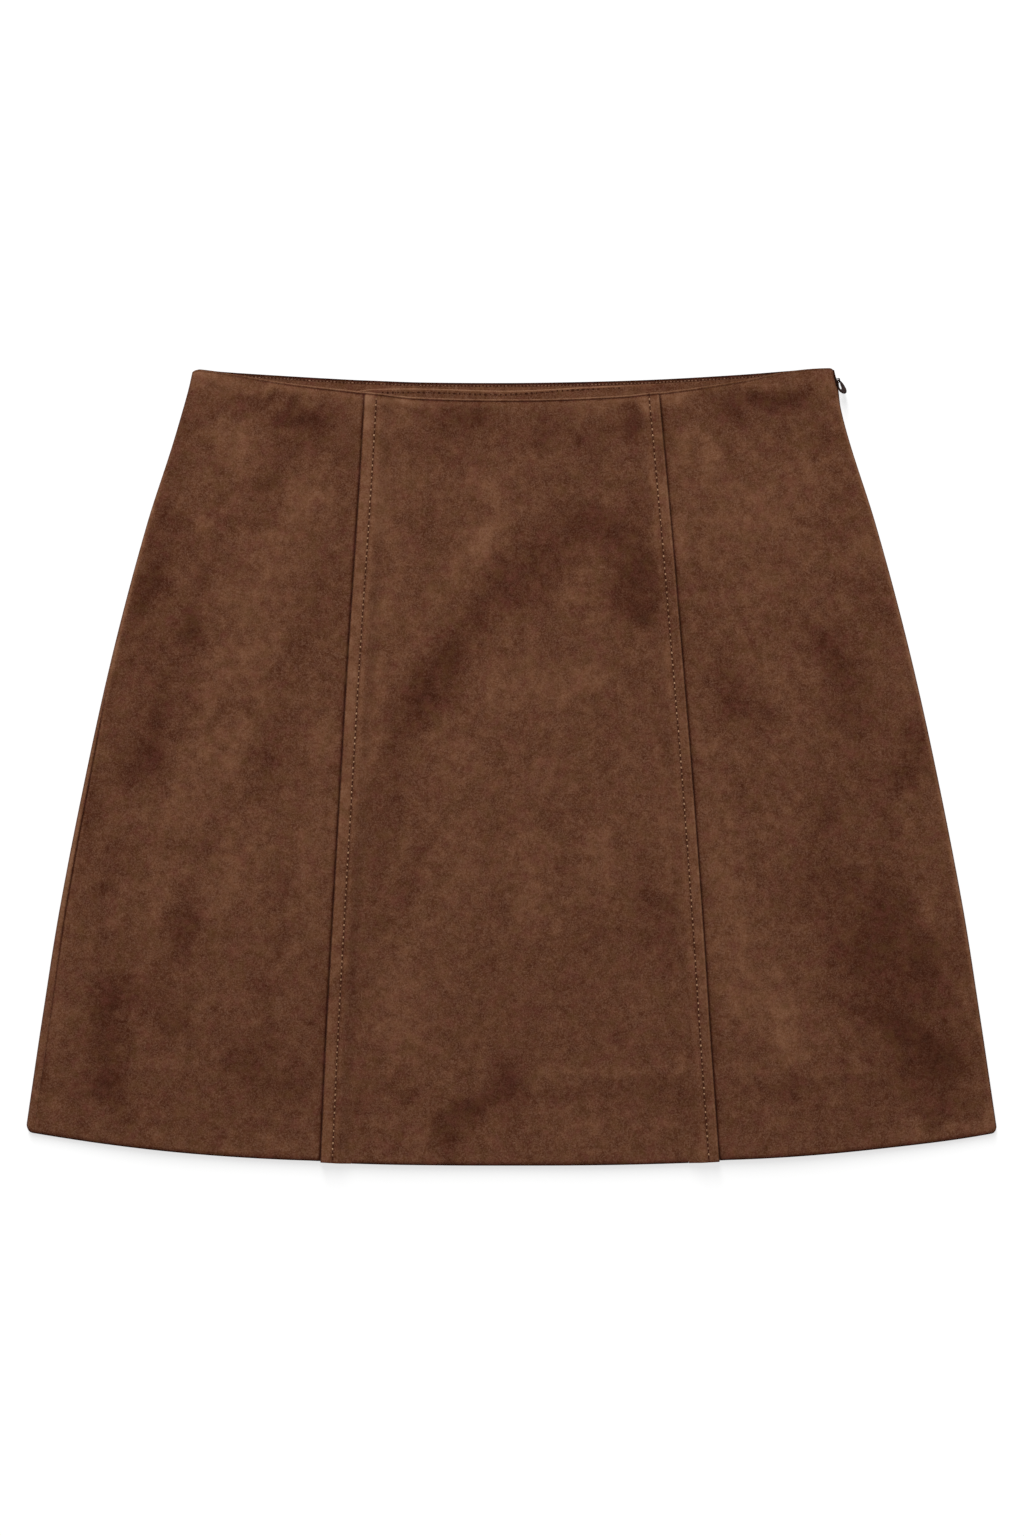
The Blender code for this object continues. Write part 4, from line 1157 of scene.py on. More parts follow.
# The colours of the suede, by how its nap lies and by painted light and shade: 0 darkest,
# 0.5 as it is dyed, 1 lightest
TONE_STEP = 0.13
SUEDE_TONE_COLOURS = (
    (0.0, colour(44, 15, 4)),
    (0.32, colour(69, 33, 17)),
    (0.5, colour(89, 52, 32)),
    (0.68, colour(112, 72, 48)),
    (1.0, colour(146, 105, 79)),
)
RUST = (*colour(104, 53, 46), 1.0)
OLIVE = (*colour(88, 60, 30), 1.0)
PALE_FIBRE = (*colour(144, 108, 88), 1.0)
DEEP_NAP = (*colour(50, 14, 2), 1.0)

# The sizes of what varies over the suede, in millimetres: its mottle, its reddish and
# greenish casts, its grain, its fibres and how they stretch, and the fibres that curl
MOTTLE_SIZE = 7.0
CAST_SIZE = 9.0
GRAIN_SIZE = 0.85
FIBRE_SIZE = 0.55
FIBRE_STRETCH = 0.45
CURL_SIZE = 2.2
CURL_FINE = 10.0


def suede(name):
    """Brown suede: a short nap, brushed in patches, mottled, with fine fibres, and the painted
    light and shade that its attribute brings.
    """
    finish = Finish(name)
    place = finish.place()
    nap = finish.add("ShaderNodeAttribute", {"attribute_name": "nap"}, output=2)
    mottle = finish.noise(place, MOTTLE_SIZE, detail=4.0, roughness=0.60)
    grain = finish.noise(place, GRAIN_SIZE, roughness=0.7)
    wide = place.vector("MULTIPLY", (FIBRE_STRETCH, 1.0, 1.0))
    long = place.vector("MULTIPLY", (1.0, FIBRE_STRETCH, 1.0))
    across = finish.noise(wide, FIBRE_SIZE, detail=1.0)
    fibres = finish.noise(long, FIBRE_SIZE, detail=1.0)
    winding = finish.noise(place, CURL_SIZE, detail=3.0, roughness=0.55, swirl=1.4)
    curls = winding.math("MAXIMUM", 1 - CURL_FINE * winding.math("ABSOLUTE", winding), 0.0)
    # the attribute brings the brushed nap together with the painted light and shade
    tone = 0.5 + TONE_STEP * nap + 0.56 * mottle + 0.15 * grain
    base = finish.add("ShaderNodeValToRGB", {"stops": SUEDE_TONE_COLOURS}, {0: tone})
    # fewer fibre specks show where the tone is darker, from the nap and from painted shade
    speck_share = nap.math("MINIMUM", 1 + 0.3 * nap, 1.0)
    speck_share = nap.math("MAXIMUM", speck_share, 0.0)
    specks = (0.62 * grain + 0.48 * fibres + 0.33 * across + 0.38 * curls - 0.09) * speck_share
    base = base.mix(PALE_FIBRE, specks).mix(DEEP_NAP, specks * -1.0)
    ragged = {"detail": 6.0, "roughness": 0.75}
    base = base.mix(RUST, finish.noise(place, CAST_SIZE, **ragged) * 2.0)
    elsewhere = place.vector("ADD", (90.0, 40.0, 0.0))
    base = base.mix(OLIVE, finish.noise(elsewhere, CAST_SIZE, **ragged) * 2.4)
    finish.set(
        Base_Color=base,
        Roughness=0.95,
        Specular_IOR_Level=0.10,
        Sheen_Weight=0.06,
        Sheen_Roughness=0.5,
        Sheen_Tint=(0.62, 0.42, 0.33, 1.0),
        Normal=finish.bump(grain * 0.6 + fibres * 0.4, 0.0003, 0.5),
    )
    return finish.material


def woven(name, dark, light, thread_size, roughness=0.85):
    """A plain woven fabric, its threads over and under each other."""
    finish = Finish(name)
    place = finish.place()
    wave = {"Vector": place, "Scale": 1 / (2 * thread_size), "Distortion": 0.3, "Detail": 1.0}
    warp = finish.add("ShaderNodeTexWave", {"bands_direction": "X"}, wave, output=1)
    weft = finish.add("ShaderNodeTexWave", {"bands_direction": "Y"}, wave, output=1)
    weave = warp * weft + (1 - warp) * (1 - weft)
    slub = finish.noise(place.vector("MULTIPLY", (1.0, 0.1, 1.0)), 1.2, 2.0)
    cast = finish.noise(place, 18.0, 2.0)
    share = 0.35 + 0.5 * weave + 0.6 * slub + 0.4 * cast
    base = finish.add("ShaderNodeValToRGB", {"stops": ((0.0, dark), (1.0, light))}, {0: share})
    finish.set(
        Base_Color=base,
        Roughness=roughness,
        Specular_IOR_Level=0.25,
        Sheen_Weight=0.1,
        Normal=finish.bump(weave + slub, 0.0002, 0.5),
    )
    return finish.material


# The tan thread's colours, and two copies of it darkened as painted shade, for the stitches on
# the back facing and on the front facing
THREAD_COLOURS = {
    "tan_thread": (colour(116, 79, 57), colour(154, 116, 87), colour(193, 154, 121)),
    "shaded_thread": (colour(78, 48, 34), colour(112, 77, 58), colour(150, 114, 90)),
    "deep_shaded_thread": (colour(58, 32, 21), colour(78, 48, 34), colour(104, 70, 52)),
}


@lru_cache(maxsize=None)
def thread(name):
    """Sewing thread of two plies, worn unevenly."""
    finish = Finish(name)
    place = finish.place()
    worn = finish.noise(place, 2.5, 3.0, 0.7)
    stops = tuple(zip((0.32, 0.5, 0.68), THREAD_COLOURS[name]))
    base = finish.add("ShaderNodeValToRGB", {"stops": stops}, {0: worn + 0.5})
    fuzz = finish.noise(place, 0.12, 1.0)
    finish.set(
        Base_Color=base,
        Roughness=0.85,
        Specular_IOR_Level=0.15,
        Normal=finish.bump(fuzz, 0.00005, 0.5),
    )
    return finish.material


@lru_cache(maxsize=None)
def needle_hole_shade():
    """The painted shade of a needle hole, and of the dent round it."""
    finish = Finish("needle_hole_shade")
    grain = finish.noise(finish.place(), 0.6, 2.0)
    stops = ((0.3, colour(47, 22, 13)), (0.7, colour(71, 40, 27)))
    base = finish.add("ShaderNodeValToRGB", {"stops": stops}, {0: grain + 0.5})
    finish.set(Base_Color=base, Roughness=1.0, Specular_IOR_Level=0.0)
    return finish.material


def zip_teeth():
    """Dark brown moulded coil, a little glossy where it has rubbed."""
    finish = Finish("coil_teeth")
    rubbed = finish.noise(finish.place(), 1.5, 2.0)
    stops = ((0.3, colour(38, 22, 15)), (0.7, colour(62, 40, 29)))
    base = finish.add("ShaderNodeValToRGB", {"stops": stops}, {0: rubbed + 0.5})
    finish.set(Base_Color=base, Roughness=0.4 - 0.3 * rubbed)
    return finish.material


def bronze():
    """Dark bronze plating, worn brighter in places, with fine scratches."""
    finish = Finish("dark_bronze")
    place = finish.place()
    worn = finish.noise(place, 1.6, 3.0, 0.65)
    scratches = finish.noise(place.vector("MULTIPLY", (1.0, 0.08, 1.0)), 0.12, 1.0)
    stops = ((0.3, colour(24, 10, 7)), (0.55, colour(38, 19, 14)), (0.75, colour(60, 41, 31)))
    share = worn + 0.5 + 0.2 * scratches
    base = finish.add("ShaderNodeValToRGB", {"stops": stops}, {0: share})
    finish.set(
        Base_Color=base,
        Metallic=0.25,
        Roughness=0.6 - 0.3 * worn,
        Specular_IOR_Level=0.04,
        Normal=finish.bump(scratches, 0.00003, 0.4),
    )
    return finish.material


# ----------------------------------------------------------------------- the garment


def lap_height(side, inward):
    """Height of the lap's top layer at a distance in from its fold."""
    rise = smooth(clamp((LAP_FLAT + LAP_EASE - inward) / LAP_EASE))
    height = between(FRONT, LAP_TOP, rise)
    stitched = LAP_STITCH_IN[side]
    puff = LAP_PUFF * math.sin(math.pi * clamp(inward / stitched))
    return height + puff - STITCH_SINK * bell(inward - stitched, STITCH_SINK_WIDTH)


def lap_light_and_shade(side, inward):
    """Light and shade painted on the lap's top layer: the strip outside the stitches lighter,
    partly painted light, a painted highlight at the fold, painted shade where the stitches
    sink and a painted highlight on the ridge inside them. The left one's strip is lighter."""
    strip, rub = LAP_STRIP_AND_FOLD_LIGHT[side]
    past = inward - LAP_STITCH_IN[side]
    tone = strip * smooth(clamp(-past / LAP_STRIP_SOFT))
    tone += rub * bell(inward - LAP_HIGHLIGHT_IN, LAP_HIGHLIGHT_WIDTH)
    tone += LAP_RIDGE_HIGHLIGHT * bell(past - LAP_RIDGE_IN[side], LAP_RIDGE_WIDTH[side])
    return tone - LAP_STITCH_SHADE[side] * bell(past, LAP_STITCH_BAND[side])


def below_rim(tone):
    """A column's painted shade, which fades out at the waist, where the fold is rubbed as well.
    """
    return lambda down: tone * smooth(clamp(down / LAP_SHADE_FADE))


def lap_columns(side):
    """The centre front's lap, from where it leaves the flat to the end of its return."""
    wide, stitched = LAP_FLAT + LAP_EASE, LAP_STITCH_IN[side]
    places = [between(wide, stitched, k / LAP_EVEN) for k in range(LAP_EVEN_KEPT)]
    places += [stitched + step for step in BEFORE_STITCHES]
    places += [stitched - step for step in PAST_STITCHES]
    places += NEAR_FOLD
    columns = []
    for place in places:
        height, tone = lap_height(side, place), lap_light_and_shade(side, place)
        columns.append(lap_column(side, place, height, tone=tone))
    for k in range(FOLD_STEPS + 1):
        turn = math.pi * k / FOLD_STEPS
        inward = HEM_MARGIN - FOLD_RADIUS * math.sin(turn)
        height = (LAP_TOP + LAP_RETURN) / 2 + FOLD_RADIUS * math.cos(turn)
        shaded = smooth(clamp(turn / FOLD_SHADE_TURN))
        tone = between(lap_light_and_shade(side, inward), -LAP_SHADE[side], shaded)
        columns.append(lap_column(side, inward, height, tone=below_rim(tone)))
    for place in ON_RETURN:
        columns.append(lap_column(side, place, LAP_RETURN, tone=-LAP_SHADE[side]))
    return columns


def make_centre_front():
    """The centre front, folded under along both laps and turned up at the hem."""
    start = LAP_FLAT + LAP_EASE + CLEAR_OF_LAP
    left = lap_column(-1, start, FRONT, turns=True)
    right = lap_column(1, start, FRONT, turns=True)
    columns = list(reversed(lap_columns(-1)))
    columns += even_columns(left, right, round(CENTRE_FLAT / FINE))
    columns += lap_columns(1)
    rows = length_rows(CENTRE_LENGTH, FINE, rolled_edge, HEM_SHADE) + turned_rows(FINE)
    look = {"rise": stand_off, "marks": SUEDE_MARKS}
    return cloth("centre_front", columns, rows, front_y, hem_y, **look)


def make_side_front(name, side):
    """A side front, from its side seam to its edge under the centre front, with painted
    shade beside the lap's fold."""
    columns = edge_columns(side, 1, EDGE_STEPS)
    outer = columns[-1]
    steps = range(BESIDE_FOLD_STEPS + 1)
    beside = [between(*BESIDE_FOLD, k / BESIDE_FOLD_STEPS) for k in steps]
    near = side_column(side, beside[0])
    columns += even_columns(outer, near, round(SIDE_FLAT / FINE), ends=(1, 1))
    for outward in beside:
        shade = LAP_SHADE[side] * bell(outward, LAP_SHADE_WIDTH[side])
        shade += LAP_SHADE_FAR * bell(outward, LAP_SHADE_REACH[side])
        columns.append(side_column(side, outward, below_rim(-shade)))
    under = side_column(side, beside[-1]), side_column(side, -LAP_UNDER)
    columns += even_columns(*under, UNDER_LAP_STEPS, ends=(1, 0))
    rows = length_rows(OFF_CENTRE_LENGTH, FINE, rolled_edge, HEM_SHADE) + turned_rows(FINE)
    return cloth(name, columns, rows, front_y, hem_y, rise=stand_off, marks=SUEDE_MARKS)


def make_back():
    """The back, in one piece, which wraps round both side edges to its seams. It was
    brushed with the same strokes, turned end for end."""
    columns = edge_columns(-1, -1, 2 * EDGE_STEPS)
    right = edge_columns(1, -1, EDGE_STEPS)
    columns += even_columns(columns[-1], right[-1], round(BACK_FLAT / COARSE), ends=(1, 1))
    columns += reversed(right)
    rows = length_rows(OFF_CENTRE_LENGTH, COARSE, back_edge, HEM_SHADE) + turned_rows(COARSE)
    marks = []
    for mark in SUEDE_MARKS:
        x = BACK_MARKS_OVER - BACK_MARKS_CLOSER * mark.x
        marks.append(mark._replace(x=x, y=-mark.y, turn=mark.turn + 180))
    return cloth("back", columns, rows, back_y, back_hem_y, inside=1, marks=marks)


def make_facing(name, height, high, outer_y, top):
    """A waist facing, which stops at the zip's tape on the right."""

    def low(x):
        return below_waist(outer_y, x, FACING_DEPTH)

    left = inset_column(-1, FACING_INSET, height)
    right = inset_column(1, TAPE_OUTER + 2 * GAP, height)
    columns = inner_columns(left, right, FACING_STEPS)
    rows = length_rows(FACING_DEPTH, FINE, top)
    span = 0.0, FACING_DEPTH / SIDE_LENGTH
    return cloth(name, columns, rows, high, low, span=span, rub="facing_rub")


def make_shorts(name, side, height, outer_y):
    """A quarter of the inner shorts: flat, from the facing to the end of its leg."""

    def high(x):
        return below_waist(outer_y, x, FACING_DEPTH + SHORTS_GAP)

    def low(x):
        return hem_y(x) + SHORTS_CLEAR_OF_HEM

    def outer(down):
        return side * along(SHORTS, "side", down), height

    def inner(down):
        return side * (max(along(SHORTS, "inner", down), 0.0) + GAP / 2), height

    ends = Column(outer, False, 0.0, 0.0), Column(inner, False, 0.0, 0.0)
    columns = inner_columns(*ends, SHORTS_STEPS)
    span = SHORTS[0].down, SHORTS[-1].down
    rows = length_rows(SHORTS_LENGTH, SHORTS_STEP, plain_edge, close=False)
    return cloth(name, columns, rows, high, low, span=span)


def make_tape(name, height):
    """One of the zip's tapes, beside the coil inside the side seam."""

    def high(x):
        return front_y(x) - ZIP_START

    def low(x):
        return below_waist(front_y, x, ZIP_START + ZIP_LENGTH)

    inner = inset_column(1, TAPE_INNER, height)
    outer = inset_column(1, TAPE_OUTER, height)
    columns = inner_columns(inner, outer, TAPE_STEPS)
    rows = length_rows(ZIP_LENGTH, TAPE_STEP, plain_edge, close=False)
    return cloth(name, columns, rows, high, low, span=(0.0, ZIP_LENGTH / SIDE_LENGTH))


def dress(made, material, node):
    """Finishes a cloth piece: its wall, material and body, and hides the node it stands for."""
    piece, (width, length, area) = made
    thicken(piece)
    piece.data.materials.append(material)
    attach(piece, "garment")
    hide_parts(node)
    return piece


def make_garment():
    """Every cloth piece."""
    brown = suede("brown_suede")
    lining = woven("brown_lining", colour(48, 27, 18), colour(84, 54, 40), 0.22, 0.75)
    tape = woven("zip_tape_weave", colour(28, 16, 11), colour(56, 36, 26), 0.35)

    back = dress(make_back(), brown, "back_panel")
    made = make_facing("facing_back", BACK_INSIDE, back_facing_y, back_y, back_facing_edge)
    row = stitch_back_facing()
    back_facing = dress(made, brown, "back_facing")
    made = make_facing("facing_front", FRONT_INSIDE, front_facing_y, front_y, front_facing_edge)
    row = stitch_front_facing()
    front_facing = dress(made, brown, "front_facing")
    for side, word in ((-1, "left"), (1, "right")):
        made = make_shorts("shorts_back_cloth_" + word, side, BACK_INSIDE, back_y)
        under = dress(made, lining, "shorts_back_" + word)
        made = make_shorts("shorts_front_cloth_" + word, side, FRONT_INSIDE, front_y)
        over = dress(made, lining, "shorts_front_" + word)
        made = make_side_front("side_front_" + word, side)
        node = "front_side_panel_" + word
        dress(made, brown, node)
    for word, height in (("back", BACK_INSIDE), ("front", FRONT_INSIDE)):
        dress(make_tape("tape_" + word, height), tape, "zip_tape_" + word)
    rows = [stitch_lap(-1, "left"), stitch_lap(1, "right")]
    dress(make_centre_front(), brown, "front_centre_panel")


# --------------------------------------------------------------------------- stitching

# The thread's two plies and their twist, and how far off the cloth the thread's middle
# and the hole's rim lie, and how deep the hole is dished
THREAD_PLY = 0.14
THREAD_TWIST = 4.0
HOLE_ABOVE = 0.00006
HOLE_DISH = 0.00003
THREAD_ABOVE = 0.00002

# How uneven the sewing is: how far the stitches stray from their line, how much they
# turn from it, and how much they grow for each part that they may shrink
STRAY = 0.00007
STRAY_TURN = 0.07
STRAY_GROWS = 0.8

# How far ahead and behind the way of the row is read, in stitches
LOOK_AHEAD = 0.2

# A row's ends: along a lap from the waist to the hem, and the others by X
LAP_ROW = (0.004, 0.9935)
LAP_ROW_LENGTH = 0.4235
BACK_ROW = (-0.172, 0.164)
FRONT_ROW = (-0.075, 0.060)


def thread_loop(stitching):
    """One stitch's thread along X: two twisted plies that sink in at both ends."""
    loop = bmesh.new()
    bmesh.ops.create_uvsphere(loop, u_segments=10, v_segments=8, radius=1.0)
    for vert in loop.verts:
        across, up, lengthwise = vert.co
        turn = math.atan2(up, across)
        ply = 1 + THREAD_PLY * math.cos(2 * turn - THREAD_TWIST * lengthwise)
        x = lengthwise * stitching.thread_long
        z = THREAD_ABOVE + up * ply * stitching.thread_high
        vert.co = (x, across * ply * stitching.thread_wide, z)
    return loop


def hole_dent(stitching):
    """One needle hole: an oval, dished dent."""
    dent = bmesh.new()
    bmesh.ops.create_cone(dent, segments=12, radius1=1.0, radius2=0.25, depth=1.0, cap_ends=True)
    wide_end = [face for face in dent.faces if face.normal.z < -0.9]
    bmesh.ops.delete(dent, geom=wide_end, context="FACES")
    for vert in dent.verts:
        x, y, deep = vert.co
        height = HOLE_ABOVE - HOLE_DISH * (deep + 0.5)
        vert.co = (x * stitching.hole_long, y * stitching.hole_wide, height)
    bmesh.ops.reverse_faces(dent, faces=dent.faces)
    for face in dent.faces:
        face.material_index = 1
    return dent


def sew(name, stitching, thread_name, path, length, seed):
    """A row of stitches: path gives the point on the cloth at a share of the length. Each
    stitch is a little out of line, because the cloth is fed by hand."""
    shapes = [
        smooth_mesh(name + "_one", made)
        for made in (thread_loop(stitching), hole_dent(stitching))
    ]
    hand = random.Random(seed)
    count = round(length / stitching.pitch)
    row = bmesh.new()
    for k in range(count):
        for mesh, share in zip(shapes, ((k + 0.5) / count, (k + 1) / count)):
            nearby = -LOOK_AHEAD / count, 0.0, LOOK_AHEAD / count
            before, here, after = (Vector(path(share + step)) for step in nearby)
            lengthwise = (after - before).normalized()
            crosswise = Vector((0, 0, 1)).cross(lengthwise).normalized()
            turned = hand.gauss(0, STRAY_TURN)
            lengthwise = (lengthwise + turned * crosswise).normalized()
            crosswise = Vector((0, 0, 1)).cross(lengthwise).normalized()
            here += crosswise * hand.gauss(0, STRAY)
            old = len(row.verts)
            row.from_mesh(mesh)
            row.verts.ensure_lookup_table()
            upward = lengthwise.cross(crosswise)
            sewn = frame_matrix(here, lengthwise, crosswise, upward)
            low, high = 1 - stitching.uneven, 1 + STRAY_GROWS * stitching.uneven
            sewn @= Matrix.Diagonal((hand.uniform(low, high), hand.uniform(low, high), 1.0, 1.0))
            bmesh.ops.transform(row, matrix=sewn, verts=row.verts[old:])
    piece = add_object(name, smooth_mesh(name, row))
    piece.data.materials.append(thread(thread_name))
    piece.data.materials.append(needle_hole_shade())
    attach(piece, "garment")
    return piece


def frame_matrix(origin, first, second, third):
    """The matrix that carries local X, Y and Z onto three directions at an origin."""
    turn = Matrix((first, second, third)).transposed()
    return Matrix.Translation(origin) @ turn.to_4x4()


def stitch_lap(side, word):
    """The row of stitches along a lap."""
    inward = LAP_STITCH_IN[side]
    run = run_of(lap_column(side, inward, lap_height(side, inward)), front_y, hem_y)

    def path(share):
        x, y, z = run(between(*LAP_ROW, share))
        return x, y, z + stand_off(x, y) + CLOTH / 2

    name = "stitches_lap_" + word
    return sew(name, LAP_STITCHES, "tan_thread", path, LAP_ROW_LENGTH, seed=11 + side)


def stitch_back_facing():
    """The row of stitches along the back facing's top edge."""

    def path(share):
        x = between(*BACK_ROW, share)
        return x, back_facing_y(x) - BACK_STITCH_DOWN, BACK_INSIDE + CLOTH / 2

    length = BACK_ROW[1] - BACK_ROW[0]
    return sew("stitches_back_facing", BACK_STITCHES, "shaded_thread", path, length, seed=21)


def stitch_front_facing():
    """The row of stitches on the front facing, where it stands above the front."""

    def path(share):
        x = between(*FRONT_ROW, share)
        return x, front_facing_y(x) - front_stitch_down(x), FRONT_INSIDE + CLOTH / 2

    length = FRONT_ROW[1] - FRONT_ROW[0]
    return sew("stitches_front_facing", FACING_STITCHES, "deep_shaded_thread", path, length, seed=31)


# --------------------------------------------------------------------------------- zip

# The slider's soft edges, and the coil: its pitch, its wire's radius, and how far each
# half stands off the middle and swings
SLIDER_BEVEL = 0.00012
SLIDER_ANGLE = math.radians(40)
COIL_PITCH = 0.0013
COIL_WIRE = 0.00019
COIL_OFF = 0.00028
COIL_TURN = 0.00050
COIL_STEPS = 10

# The pull tab's outline and its eye, as points along from the hinge and across, and its
# profile from the eye to the outline: share of the way, and half the thickness
TAB_OUTLINE = (
    (-0.00035, 0.0), (-0.00020, -0.0010), (0.0008, -0.0018), (0.0023, -0.0020), (0.0042, -0.0016),
    (0.0061, -0.0008), (0.0078, 0.0004), (0.0090, 0.0017), (0.0100, 0.0038), (0.0099, 0.0060),
    (0.0088, 0.0074), (0.0071, 0.0074), (0.0053, 0.0059), (0.0034, 0.0039), (0.0014, 0.0020),
    (-0.0002, 0.0009),
)
TAB_EYE = (
    (0.00036, 0.0), (0.00045, -0.00060), (0.00140, -0.00060), (0.0020, 0.0002), (0.0032, 0.0013),
    (0.0049, 0.0025), (0.0064, 0.0040), (0.0067, 0.0050), (0.0058, 0.0054), (0.0044, 0.0043),
    (0.0030, 0.0028), (0.0015, 0.0012), (0.00045, 0.00065),
)
TAB_PROFILE = (
    (0.0, 0.0), (0.05, 0.00018), (0.15, 0.00026), (0.35, 0.00022), (0.55, 0.00024),
    (0.72, 0.00040), (0.86, 0.00046), (0.96, 0.00030), (1.0, 0.0),
)
TAB_STEPS = 64
CURVE_PARTS = 12


def right_edge_middle(place):
    """The middle of the right edge's round, at a distance down from the waist."""
    down = place / SIDE_LENGTH
    x = edge_x(1, down)
    corner = front_y(edge_x(1, 0.0))
    low = hem_y(edge_x(1, 1.0)) + HEM_MARGIN
    return Vector((x - EDGE_REACH, between(corner, low, down), EDGE_MIDDLE))


def seam_frame(place):
    """The zip's frame at a distance down: its middle, then up the seam, out of the slit,
    and the axis across the slit."""
    middle = right_edge_middle(place)
    above = right_edge_middle(place - SLIDER_LENGTH / 2)
    below = right_edge_middle(place + SLIDER_LENGTH / 2)
    up = (above - below).normalized()
    level = up.cross(Vector((0, 0, 1)))
    tilt = RIGHT_SEAM_ROLL / EDGE_RADIUS
    out = math.cos(tilt) * level + math.sin(tilt) * Vector((0, 0, 1))
    return middle, up, out, out.cross(up)


def make_coil(material):
    """The closed teeth: two wire coils that hook into each other along the seam."""
    start = SLIDER_DOWN + SLIDER_LENGTH / 2 + GAP
    curve = bpy.data.curves.new("coil_pair", "CURVE")
    curve.dimensions = "3D"
    curve.bevel_depth = COIL_WIRE
    curve.bevel_resolution = 1
    curve.use_fill_caps = True
    turns = int((ZIP_LENGTH - start) / COIL_PITCH) - 1
    for half in (-1, 1):
        spline = curve.splines.new("POLY")
        spline.points.add(turns * COIL_STEPS)
        for k, point in enumerate(spline.points):
            turn = math.tau * k / COIL_STEPS
            shift = 0.5 if half > 0 else 0.0
            place = start + COIL_WIRE + COIL_PITCH * (k / COIL_STEPS + shift)
            middle, _, out, axis = seam_frame(place)
            swing = half * COIL_OFF + COIL_TURN * math.cos(turn)
            point.co = (*(middle + axis * swing + out * COIL_TURN * math.sin(turn)), 1.0)
    curve.materials.append(material)
    coil = add_object("coil_pair", curve)
    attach(coil, "garment")
    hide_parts("zip_coil")


def finish_slider(material):
    """The slider keeps its shape, with its edges rounded and its own finish."""
    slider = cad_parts["zip_slider"]
    for place in slider.material_slots:
        place.material = material
    soft = slider.modifiers.new("soft_edges", "BEVEL")
    soft.width = SLIDER_BEVEL
    soft.segments = 2
    soft.limit_method = "ANGLE"
    soft.angle_limit = SLIDER_ANGLE


def closed_line(corners, steps):
    """Evenly spaced points on a smooth closed line through corners."""
    points = []
    for k in range(len(corners)):
        p0, p1, p2, p3 = (Vector(corners[(k + step) % len(corners)]) for step in (-1, 0, 1, 2))
        for part in range(CURVE_PARTS):
            t = part / CURVE_PARTS
            bend = (2 * p0 - 5 * p1 + 4 * p2 - p3) * t * t + (3 * p1 - p0 - 3 * p2 + p3) * t**3
            points.append(p1 + ((p2 - p0) * t + bend) / 2)
    places = [0.0]
    for before, after in zip(points, points[1:] + points[:1]):
        places.append(places[-1] + (after - before).length)
    points.append(points[0])
    even = []
    for k in range(steps):
        at = places[-1] * k / steps
        past = max(j for j in range(len(places) - 1) if places[j] <= at)
        share = (at - places[past]) / (places[past + 1] - places[past])
        even.append(points[past].lerp(points[past + 1], share))
    return even


def make_pull_tab(material):
    """The pull tab: a leaf-shaped loop with a thick rounded rim, thinner inside, whose eye
    hangs on the slider's arch."""
    middle, up, out, axis = seam_frame(SLIDER_DOWN)
    length_way = math.sin(TAB_REST) * out - math.cos(TAB_REST) * up
    place = frame_matrix(middle + HINGE_OUT * out, length_way, axis, length_way.cross(axis))
    tab = bmesh.new()
    rings = []
    lines = closed_line(TAB_EYE, TAB_STEPS), closed_line(TAB_OUTLINE, TAB_STEPS)
    for inner, outer in zip(*lines):
        ring = []
        for way, profile in ((1, TAB_PROFILE), (-1, TAB_PROFILE[-2:0:-1])):
            for share, half in profile:
                flat = inner.lerp(outer, share)
                ring.append(tab.verts.new(place @ Vector((flat.x, flat.y, way * half))))
        rings.append(ring)
    for ring, after in zip(rings, rings[1:] + rings[:1]):
        for k in range(len(ring)):
            last = (k + 1) % len(ring)
            tab.faces.new((ring[k], after[k], after[last], ring[last]))
    bmesh.ops.recalc_face_normals(tab, faces=tab.faces)
    piece = add_object("drop_tab", smooth_mesh("drop_tab", tab))
    piece.data.materials.append(material)
    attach(piece, "pull_tab")
    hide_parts("zip_pull_tab")


def make_zip():
    """The closed zip, its slider and its pull tab."""
    metal = bronze()
    make_coil(zip_teeth())
    finish_slider(metal)
    make_pull_tab(metal)


# ------------------------------------------------------------------ floor, light, camera

CAMERA_HEIGHT = 2.0303
CAMERA_LENS = 85.0
CAMERA_SENSOR = 36.0
LOOKS_AT = (0.0002, -0.00085)
FLOOR_HALF = 6.0
FLOOR_BELOW = 0.0001
FLOOR_PALE = 0.44
FLOOR_GLOW = 0.665
FILL = 0.30
SOFTBOX_PLACE = (-0.52, 3.12, 3.16)
SOFTBOX_SIZE = (1.0, 4.6)
SOFTBOX_POWER = 201.0


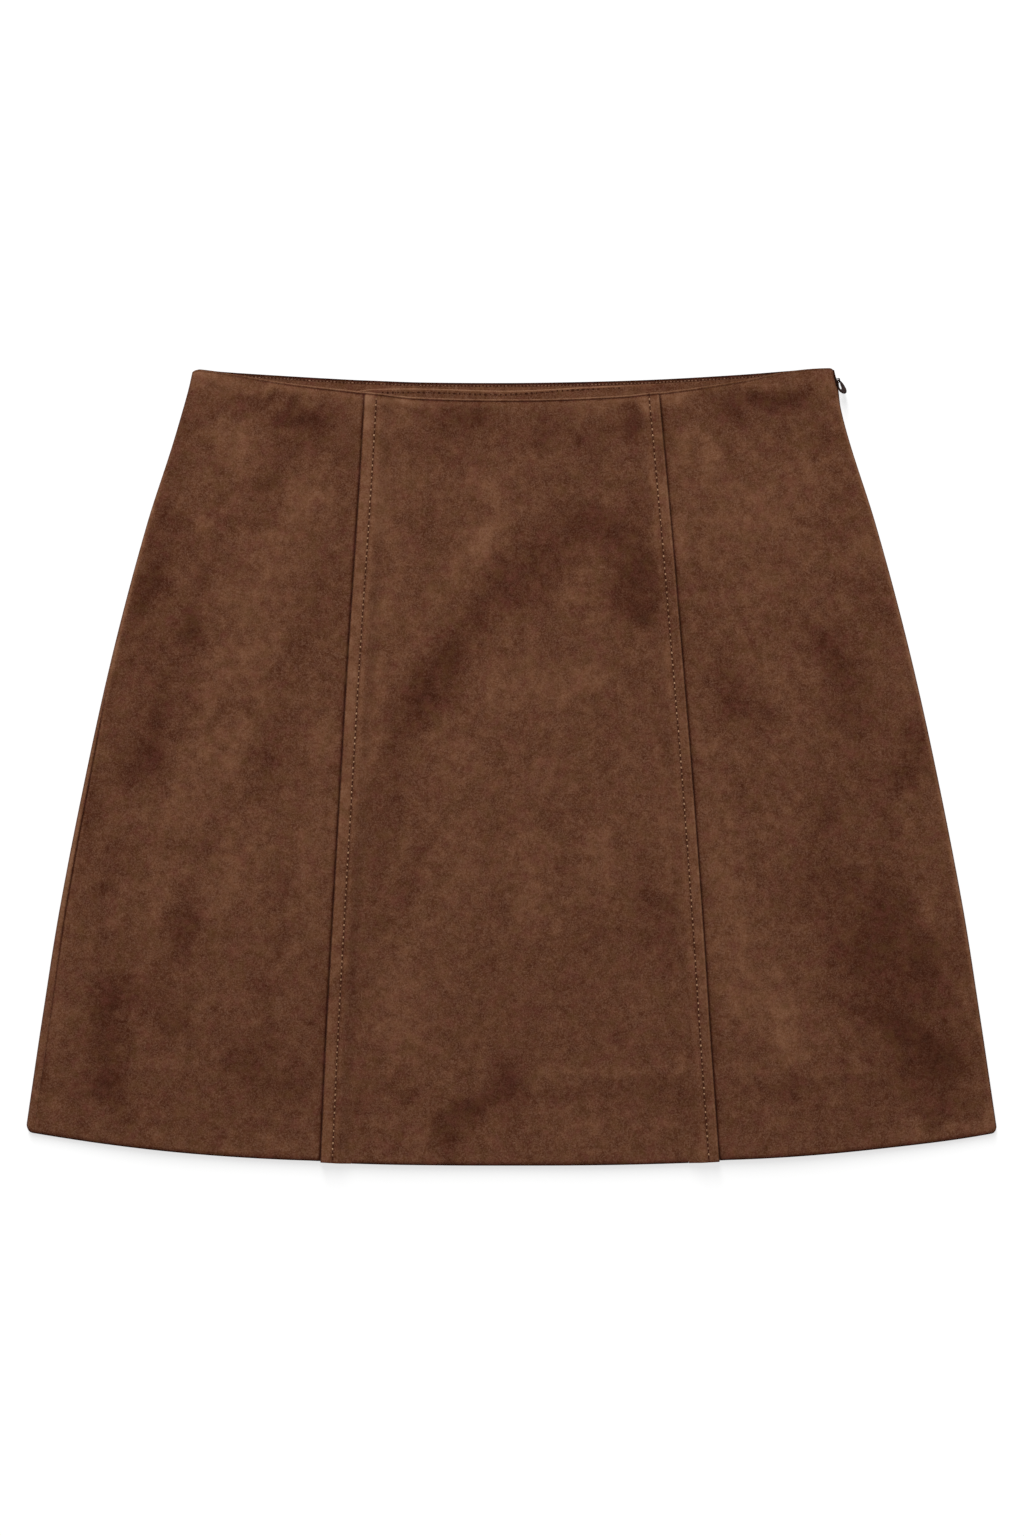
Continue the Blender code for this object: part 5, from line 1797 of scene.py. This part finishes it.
def make_camera():
    """The camera, straight above the garment."""
    camera = bpy.data.cameras.new("camera")
    camera.lens = CAMERA_LENS
    camera.sensor_width = CAMERA_SENSOR
    eye = add_object("camera", camera)
    eye.location = (*LOOKS_AT, CAMERA_HEIGHT)
    bpy.context.scene.camera = eye
    bpy.context.scene.view_settings.view_transform = "Standard"


def make_floor():
    """The plain pale surface, lit a little from within, as a light table is."""
    grid = bmesh.new()
    bmesh.ops.create_grid(grid, x_segments=1, y_segments=1, size=FLOOR_HALF)
    floor = add_object("floor", smooth_mesh("floor", grid))
    floor.location.z = -FLOOR_BELOW
    finish = Finish("pale_floor")
    finish.set(
        Base_Color=(FLOOR_PALE, FLOOR_PALE, FLOOR_PALE, 1.0),
        Roughness=1.0,
        Specular_IOR_Level=0.0,
        Emission_Color=(1.0, 1.0, 1.0, 1.0),
        Emission_Strength=FLOOR_GLOW,
    )
    floor.data.materials.append(finish.material)


def make_light():
    """A white room, and a long softbox past the waist, which leans the shadows down."""
    world = bpy.data.worlds.new("studio")
    world.use_nodes = True
    tree = world.node_tree
    room = tree.nodes["Background"]
    room.inputs["Strength"].default_value = FILL
    room.inputs["Color"].default_value = (1.0, 1.0, 1.0, 1.0)
    wall = tree.nodes.new("ShaderNodeBackground")
    wall.inputs["Color"].default_value = (1.0, 1.0, 1.0, 1.0)
    sees = tree.nodes.new("ShaderNodeLightPath")
    either = tree.nodes.new("ShaderNodeMixShader")
    tree.links.new(sees.outputs["Is Camera Ray"], either.inputs[0])
    tree.links.new(room.outputs[0], either.inputs[1])
    tree.links.new(wall.outputs[0], either.inputs[2])
    tree.links.new(either.outputs[0], tree.nodes["World Output"].inputs[0])
    bpy.context.scene.world = world

    light = bpy.data.lights.new("long_softbox", "AREA")
    light.shape = "RECTANGLE"
    light.size, light.size_y = SOFTBOX_SIZE
    light.energy = SOFTBOX_POWER
    lamp = add_object("long_softbox", light)
    lamp.location = SOFTBOX_PLACE
    lamp.rotation_mode = "QUATERNION"
    lamp.rotation_quaternion = Vector(SOFTBOX_PLACE).to_track_quat("Z", "Y")
    lamp.visible_camera = False


make_camera()
make_light()
make_floor()
make_garment()
make_zip()
